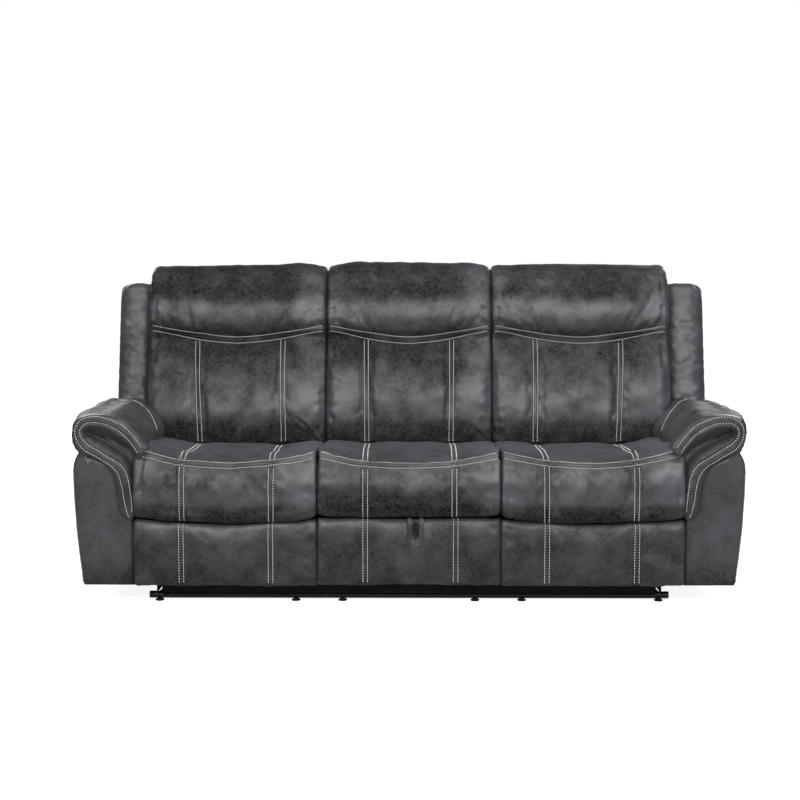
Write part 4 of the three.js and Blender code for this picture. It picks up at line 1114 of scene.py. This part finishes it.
def through(points, count):
    """A smooth open curve through points: count points, evenly spread over the given ones."""
    p = np.array(points, float)
    p = np.vstack([2 * p[0] - p[1], p, 2 * p[-1] - p[-2]])
    places = np.linspace(0, len(points) - 1, count)
    i = np.minimum(places.astype(int), len(points) - 2)
    t = (places - i)[:, None]
    a, b, c, d = p[i], p[i + 1], p[i + 2], p[i + 3]
    return 0.5 * (2 * b + (c - a) * t + (2 * a - 5 * b + 4 * c - d) * t**2
                  + (3 * b - a - 3 * c + d) * t**3)


dress(pull_loop(), "drawer", ["drawer_pull_loop"])


def even_ring(curve, count):
    return along(curve, np.linspace(0, curve[1][-1], count, endpoint=False))


def lifted(p, field):
    """A grid moved outward by a field along its normals."""
    normals = grid_normals(p)
    middle = len(p) // 2
    facing = np.einsum("ij,ij->i", normals[middle], p[middle] - p[middle].mean(0)).sum()
    sign = 1 if facing >= 0 else -1
    out = p + sign * normals * field[..., None]
    return out, grid_normals(out) * sign


def mirrored(p, s):
    return p * np.array([s, 1, 1])


HANDLE_Y = -0.150
HANDLE_Z = 0.350
POCKET_LONG = 0.128
POCKET_HIGH = 0.068
POCKET_DEEP = 0.044
POCKET_LIP = 0.003
PADDLE_X = 1.0475
PADDLE_Z = 0.337


def arm_corner(z, low, high):
    """How far the arm's body is drawn in near its lower and upper edges."""
    drawn = np.zeros_like(z)
    for away, corner in ((z - low, 0.004), (high - z, 0.010)):
        share = np.clip(1 - away / corner, 0, 1)
        drawn += corner * (1 - np.sqrt(1 - share**2))
    return drawn


def arm_body(side, s):
    front, rear, edge = ARM_FRONT, ARM_REAR, 0.016
    ys = np.concatenate([front + edge * (1 - np.cos(np.linspace(0, math.pi / 2, 7))),
                         np.linspace(front + edge, rear - edge, 64)[1:-1], pocket_edges(HANDLE_Y, POCKET_LONG),
                         rear - edge * (1 - np.cos(np.linspace(math.pi / 2, 0, 7)))])
    ys = np.sort(ys)
    rings = []
    for y in ys:
        top = np.interp(y, [a for a, _ in SLOPE], [b for _, b in SLOPE])
        away = min(y - front, rear - y)
        inset = edge * (1 - math.sqrt(max(0, 1 - max(0, 1 - away / edge) ** 2)))
        tuck = ARM_TUCK * smooth_step((top - ARM_TOP + 0.02) / 0.02)
        low, high = ARM_BOTTOM + 0.25 * inset, top - (inset if y > 0 else 0)
        outer_z = low + (POCKET_LEVELS - ARM_BOTTOM) * (high + tuck - low) / (ARM_TOP + ARM_TUCK - ARM_BOTTOM)
        inner_z = np.linspace(low, high, 40)
        outer = np.interp(outer_z, [a for a, _ in OUTER_SIDE], [b for _, b in OUTER_SIDE]) - inset
        outer = outer - arm_corner(outer_z, low, high + tuck)
        inner = ARM_INNER + inset + arm_corner(inner_z, low, high)
        across = np.linspace(0, 1, 18)[1:-1]
        ring = [(x, zz) for x, zz in zip(outer, outer_z)]
        ring += [(outer[-1] + (inner[-1] - outer[-1]) * t, high + tuck * (1 - t)) for t in across]
        ring += [(x, zz) for x, zz in zip(inner[::-1], inner_z[::-1])]
        ring += [(inner[0] + (outer[0] - inner[0]) * t, low) for t in across]
        rings.append([(x, y, zz) for x, zz in ring])
    p = np.array(rings)
    middle = p[0].mean(0)
    p = np.concatenate([[middle + (p[0] - middle) * share for share in (0.2, 0.4, 0.6, 0.8)], p])
    p[..., 2] -= 0.17 * np.maximum(0.12 - p[..., 2], 0)
    flat = smooth_step((p[..., 0] - 0.90) / 0.05) * smooth_step((ARM_TOP - 0.01 - p[..., 2]) / 0.03)
    flat = flat * smooth_step((p[..., 1] - front - edge) / 0.03) * smooth_step((rear - edge - p[..., 1]) / 0.03)
    out, normals = lifted(p, (0.0022 * waves(p, 90 + s, 0.24) + 0.0008 * waves(p, 93 + s, 0.08)) * flat)
    within = [smooth_step((half - np.abs(out[..., axis] - middle)) / POCKET_LIP + 0.5) for axis, middle, half
              in ((1, HANDLE_Y, POCKET_LONG / 2), (2, HANDLE_Z, POCKET_HIGH / 2))]
    out[..., 0] -= POCKET_DEEP * within[0] * within[1] * (out[..., 0] > ARM_INNER + 0.1)
    body = closed_grid(f"{side}_arm_cover", mirrored(out, s), FABRIC)
    # Painted highlight towards the top of the arm's side and painted shade towards its bottom
    grid_attribute(body, "painted_light", 0.3 + 0.35 * smooth_step((p[..., 2] - 0.36) / 0.08)
                   - 0.8 * smooth_step((0.17 - p[..., 2]) / 0.1))
    return body


def handle(side, s):
    """The paddle in an arm's pocket, with a dished face, and the frame round the pocket."""
    rings = []
    for y in np.concatenate([-0.052 + 0.004 * (1 - np.cos(np.linspace(0, math.pi / 2, 5))),
                             np.linspace(-0.044, 0.044, 25),
                             0.052 - 0.004 * (1 - np.cos(np.linspace(math.pi / 2, 0, 5)))]):
        inset = 0.003 * (1 - math.sqrt(max(0, 1 - max(0, 1 - (0.052 - abs(y)) / 0.004) ** 2)))
        turn = np.linspace(0, 2 * math.pi, 48, endpoint=False)
        across = np.sign(np.cos(turn)) * np.abs(np.cos(turn)) ** 0.35 * (0.0035 - inset)
        up = np.sign(np.sin(turn)) * np.abs(np.sin(turn)) ** 0.35 * (0.020 - inset)
        dish = 0.0022 * np.exp(-((up - 0.003) / 0.010) ** 2) * math.exp(-(y / 0.034) ** 4)
        across = across - dish * (across > 0)
        rings.append(np.stack([PADDLE_X + across, np.full(48, HANDLE_Y + y), PADDLE_Z + up], axis=1))
    paddle = closed_grid(f"{side}_paddle", mirrored(np.array(rings), s), FINISHES["black_plastic"])
    dress(paddle, f"{side}_handle", [f"{side}_release_handle"])
    turn = np.linspace(0, 2 * math.pi, 96, endpoint=False)
    corner = lambda v: np.sign(v) * np.abs(v) ** 0.3
    rings = []
    for lift, out in ((-0.004, 0.001), (0.001, 0.0), (0.0032, 0.0015), (0.0036, 0.004), (0.0028, 0.0065),
                      (0.0008, 0.008), (-0.003, 0.008)):
        y = HANDLE_Y + corner(np.cos(turn)) * (POCKET_LONG / 2 - 0.002 + out)
        z = HANDLE_Z + corner(np.sin(turn)) * (POCKET_HIGH / 2 - 0.002 + out)
        x = np.interp(z, [a for a, _ in OUTER_SIDE], [b for _, b in OUTER_SIDE]) + lift
        rings.append(np.stack([x, y, z], axis=1))
    rings = mirrored(np.array(rings), s).transpose(1, 0, 2)
    rim = ring_band(f"{side}_pocket_frame", rings, FINISHES["black_plastic"])
    dress(rim, "frame")


def ring_band(name, p, material):
    """A solid that closes on itself both ways."""
    nu, nv = p.shape[:2]
    faces = [(i * nv + j, i * nv + (j + 1) % nv, (i + 1) % nu * nv + (j + 1) % nv, (i + 1) % nu * nv + j)
             for i in range(nu) for j in range(nv)]
    verts = p.reshape(-1, 3)
    if signed_volume(verts, faces) < 0:
        faces = [tuple(reversed(face)) for face in faces]
    return new_object(name, verts, faces, material)


def pocket_edges(middle, size):
    """Grid places close to both edges of a pocket."""
    return np.sort(np.concatenate([middle + sign * (size / 2 + np.array([-0.004, -0.0015, 0, 0.0015, 0.004]))
                                   for sign in (-1, 1)]))


def arm_pad(side, s):
    section = outline([(ARM_INNER + a * PAD_WIDTH, ARM_TOP + b * (PAD_TOP - ARM_TOP))
                       for a, b in PAD_SHARES])
    ring = even_ring(section, 150)
    centre = np.array([0.972, 0.530])
    u = np.concatenate([np.linspace(0, 0.06, 14)[:-1], np.linspace(0.06, 0.9, 60)[:-1],
                        np.linspace(0.9, 1, 18)])
    end_y = 0.026 + (0.1177 - 0.026) * smooth_step((ring[:, 0] - 0.915) / 0.05)
    rings = []
    for share in u:
        y = ARM_FRONT + 0.0005 + share * (end_y - ARM_FRONT)
        from_front = share * 0.52
        from_rear = (1 - share) * 0.52
        d = np.clip(1 - from_front / 0.020, 0, 1)
        inset = 0.009 * (1 - math.sqrt(max(0, 1 - d**2)))
        d = np.clip(1 - from_rear / 0.045, 0, 1)
        inset += 0.030 * (1 - math.sqrt(max(0, 1 - d**2.2)))
        away = ring - centre
        scale = 1 - inset / np.linalg.norm(away, axis=1, keepdims=True)
        low = np.clip((ring[:, 1:] - ARM_TOP) / 0.03, 0, 1)
        xz = centre + away * (1 - (1 - scale) * low)
        rings.append(np.stack([xz[:, 0], y, xz[:, 1]], axis=1))
    p = np.array(rings)
    depth = p[..., 1] - ARM_FRONT
    low = smooth_step((p[..., 2] - ARM_TOP - 0.004) / 0.03)
    seam = arm_seam_y(p[..., 0])
    field = 0.0032 * waves(p, 100 + s, 0.17) + 0.0012 * waves(p, 104 + s, 0.06)
    turn = np.arctan2(p[..., 2] - centre[1], p[..., 0] - centre[0])
    fuller = 0.011 * np.exp(-((turn - 0.65) / 0.42) ** 2) + 0.013 * np.exp(-((turn - 1.95) / 0.5) ** 2)
    sloped = 0.004 * np.exp(-((turn - 1.02) / 0.3) ** 2) * smooth_step((depth - 0.12) / 0.35)
    field = field + (fuller + 0.001) * smooth_step(depth / 0.12) - sloped
    ripple = np.sin(turn * 26 + 2.5 * waves(p, 108 + s, 0.1))
    field = field + 0.0008 * ripple * np.exp(-(depth / 0.045) ** 2)
    field = field - 0.0050 * np.exp(-((p[..., 1] - seam) / 0.012) ** 2)
    field = field - 0.0022 * np.exp(-((p[..., 1] - seam) / 0.003) ** 2)
    out, normals = lifted(p, field * low)
    pad = closed_grid(f"{side}_arm_roll", mirrored(out, s), FABRIC)
    # Painted shade across the top of the arm's roll
    grid_attribute(pad, "painted_light", 0.1 - 2.4 * np.exp(-((turn - 1.15) / 0.6) ** 2))
    return pad, mirrored(out, s), normals * np.array([s, 1, 1])


def arm_seam_y(x):
    """Where the sewn line across the rear of an arm's roll lies, by its X."""
    return np.interp(x, [0.845, 0.86, 0.895, 0.93, 1.02, 1.08], [-0.165, -0.13, -0.065, -0.03, 0.04, 0.055])


def roll_seam(grid, normals):
    """Where the columns of an arm's roll cross its sewn line, a little behind the line's groove."""
    path, path_n = [], []
    for column in range(grid.shape[1]):
        line = grid[:, column]
        past = line[:, 1] - arm_seam_y(np.abs(line[:, 0])) - SEAM_TO_STITCHES
        over = np.nonzero((past[:-1] < 0) & (past[1:] >= 0))[0]
        if len(over) == 0:
            continue
        i = over[0]
        t = past[i] / (past[i] - past[i + 1])
        point = line[i] * (1 - t) + line[i + 1] * t
        if point[2] > SEAM_LOW_Z and abs(point[0]) < SEAM_OUTER_X:
            path.append(point)
            path_n.append(normals[i, column] * (1 - t) + normals[i + 1, column] * t)
    return np.array(path), np.array(path_n)


SCROLL_STITCH_INNER = 0.8779


def scroll(side, s):
    n = 230
    curves = [through([row[k] for row in SCROLL], n) for k in range(4)]
    rim, outer, inner, crease = curves
    columns, sewn = [], {}

    def across(a, b, count, depth, skip=0):
        for t in np.linspace(0, 1, count)[skip:]:
            columns.append((a + (b - a) * t, depth(t)))

    across(rim, outer, 10, lambda t: -0.4400 - 0.0255 * math.sqrt(1 - (1 - t) ** 2) + 0.0022 * (t > 0.95))
    sewn["outer"] = len(columns) - 1
    across(outer, inner, 15, lambda t: -0.4633 - 0.0062 * math.sin(math.pi * t) ** 0.7
           + 0.0022 * math.exp(-((t - 0.5) / 0.07) ** 2), 1)
    sewn["inner"] = len(columns) - 1
    across(inner, crease, 20, lambda t: -0.4633 - 0.0035 * math.sin(math.pi * min(t * 2.6, 1))
           + 0.0245 * smooth_step((t - 0.25) / 0.75) ** 1.2, 1)
    p = []
    for (xz, y) in columns:
        p.append(np.stack([xz[:, 0], np.full(n, y), xz[:, 1]], axis=1))
    for a, y in ((crease, -0.4395), (rim + (crease - rim) * 0.5, -0.4395), (rim, -0.4395)):
        p.append(np.stack([a[:, 0], np.full(n, y), a[:, 1]], axis=1))
    p = np.array(p).transpose(1, 0, 2)
    front = np.zeros(p.shape[:2])
    front[:, 2:len(columns)] = 1
    station = np.linspace(0, 1, n)[:, None]
    pleat = np.sin(station * 95 + 2.0 * waves(p, 120 + s, 0.09))
    share = np.zeros(p.shape[1])
    share[sewn["inner"]:len(columns)] = np.sin(np.linspace(0, math.pi, len(columns) - sewn["inner"])) ** 0.8
    field = 0.0015 * pleat * share[None, :] * (0.35 + np.exp(-((station - 0.45) / 0.14) ** 2))
    field = field + (0.0014 * waves(p, 124 + s, 0.05) + 0.0016 * waves(p, 127 + s, 0.12)) * front
    p[..., 1] -= field * front
    made = closed_grid(f"{side}_scroll_cover", mirrored(p, s), FABRIC)
    verts, faces = [], []
    normals = np.zeros((n, 3))
    normals[:, 1] = -1
    for key in ("outer", "inner"):
        keep = slice(4, n - 6)
        path = p[keep, sewn[key]].copy()
        path[:, 0] = np.where(path[:, 2] < 0.42, np.maximum(path[:, 0], SCROLL_STITCH_INNER), path[:, 0])
        path[:, 1] -= 0.0010
        stitch_rows(mirrored(path, s), normals[keep], verts, faces)
    rows = new_object(f"{side}_scroll_stitches", verts, faces, THREAD)
    return made, rows


POCKET_LEVELS = np.sort(np.concatenate([np.linspace(ARM_BOTTOM, ARM_TOP + ARM_TUCK, 40),
                                        pocket_edges(HANDLE_Z, POCKET_HIGH)]))
for side, s in SIDES:
    handle(side, s)
    body = arm_body(side, s)
    dress(body, "frame", nodes=[f"{side}_arm_body"])
    pad, grid, grid_n = arm_pad(side, s)
    dress(pad, "frame", nodes=[f"{side}_arm_pad"])
    made, rows = scroll(side, s)
    dress(made, "frame", nodes=[f"{side}_arm_scroll"])
    dress(rows, "frame")
    verts, faces = [], []
    stitch_rows(*roll_seam(grid, grid_n), verts, faces)
    dress(new_object(f"{side}_roll_stitches", verts, faces, THREAD), "frame")
    verts, faces = [], []
    z = np.linspace(0.085, 0.435, 60)
    x = np.interp(z, [a for a, _ in OUTER_SIDE], [b for _, b in OUTER_SIDE]) - 0.0045
    path = np.stack([s * x, np.full_like(z, ARM_FRONT + 0.0040), z], axis=1)
    stitch_rows(path, np.tile([s * 0.7, -0.7, 0], (60, 1)), verts, faces)
    dress(new_object(f"{side}_arm_stitches", verts, faces, THREAD), "frame")


# Floor, light and camera

def stage_floor():
    mesh = bpy.data.meshes.new("floor")
    r = 60
    mesh.from_pydata([(-r, -r, 0), (r, -r, 0), (r, r, 0), (-r, r, 0)], [], [(0, 1, 2, 3)])
    floor = bpy.data.objects.new("floor", mesh)
    bpy.context.scene.collection.objects.link(floor)
    s = Shader("pale_floor", Roughness=0.9, Specular_IOR_Level=0.1)
    s.surface.inputs["Emission Color"].default_value = (1, 1, 1, 1)
    s.surface.inputs["Emission Strength"].default_value = 0.9
    material = s.finish(s.ramp(s.noise(0.8, 2), [(0.3, grey(0.93)), (0.7, grey(0.95))]))
    plain = s.add("ShaderNodeBsdfDiffuse")
    plain.inputs["Color"].default_value = (*grey(0.55), 1)
    rays = s.add("ShaderNodeLightPath")
    either = s.add("ShaderNodeMixShader")
    s.join(rays.outputs["Is Camera Ray"], either.inputs[0])
    s.join(plain.outputs[0], either.inputs[1])
    s.join(s.surface.outputs[0], either.inputs[2])
    s.join(either.outputs[0], s.tree.nodes["Material Output"].inputs[0])
    floor.data.materials.append(material)


def area_light(name, place, aim, size, power, color=(1, 1, 1)):
    light = bpy.data.lights.new(name, "AREA")
    light.shape = "RECTANGLE"
    light.size, light.size_y = size
    light.energy = power
    light.color = color
    made = bpy.data.objects.new(name, light)
    bpy.context.scene.collection.objects.link(made)
    made.location = place
    made.rotation_euler = (Vector(aim) - Vector(place)).to_track_quat("-Z", "Y").to_euler()


stage_floor()
world = bpy.data.worlds.new("studio")
world.use_nodes = True
shown = world.node_tree.nodes["Background"]
shown.inputs["Color"].default_value = (1, 1, 1, 1)
fill_light = world.node_tree.nodes.new("ShaderNodeBackground")
fill_light.inputs["Color"].default_value = (0.93, 0.95, 1, 1)
fill_light.inputs["Strength"].default_value = 0.16
rays = world.node_tree.nodes.new("ShaderNodeLightPath")
either = world.node_tree.nodes.new("ShaderNodeMixShader")
for output, target in ((rays.outputs["Is Camera Ray"], either.inputs[0]),
                       (fill_light.outputs[0], either.inputs[1]), (shown.outputs[0], either.inputs[2]),
                       (either.outputs[0], world.node_tree.nodes["World Output"].inputs[0])):
    world.node_tree.links.new(output, target)
bpy.context.scene.world = world
area_light("overhead", (0, -0.9, 3.1), (0, 0.05, 0.6), (4.2, 1.6), 60)
area_light("front_left", (-1.5, -4.4, 2.6), (-0.2, 0, 0.55), (2.4, 1.0), 95)
area_light("front_right", (1.5, -4.4, 2.6), (0.2, 0, 0.55), (2.4, 1.0), 95)
area_light("rear_left", (-2.8, 3.6, 2.4), (-0.3, 0.2, 0.5), (2.2, 1.2), 70)
area_light("rear_right", (2.8, 3.6, 2.4), (0.3, 0.2, 0.5), (2.2, 1.2), 70)

CAMERA_PLACE = (0, -4.96, 1.12)
camera_data = bpy.data.cameras.new("camera")
camera_data.sensor_width = 36
camera_data.lens = 36 * 1438 / 800
camera = bpy.data.objects.new("camera", camera_data)
bpy.context.scene.collection.objects.link(camera)
camera.location = CAMERA_PLACE
camera.rotation_euler = (math.radians(90 - 5.743), 0, math.radians(0.359))
bpy.context.scene.camera = camera
bpy.context.scene.view_settings.view_transform = "Standard"
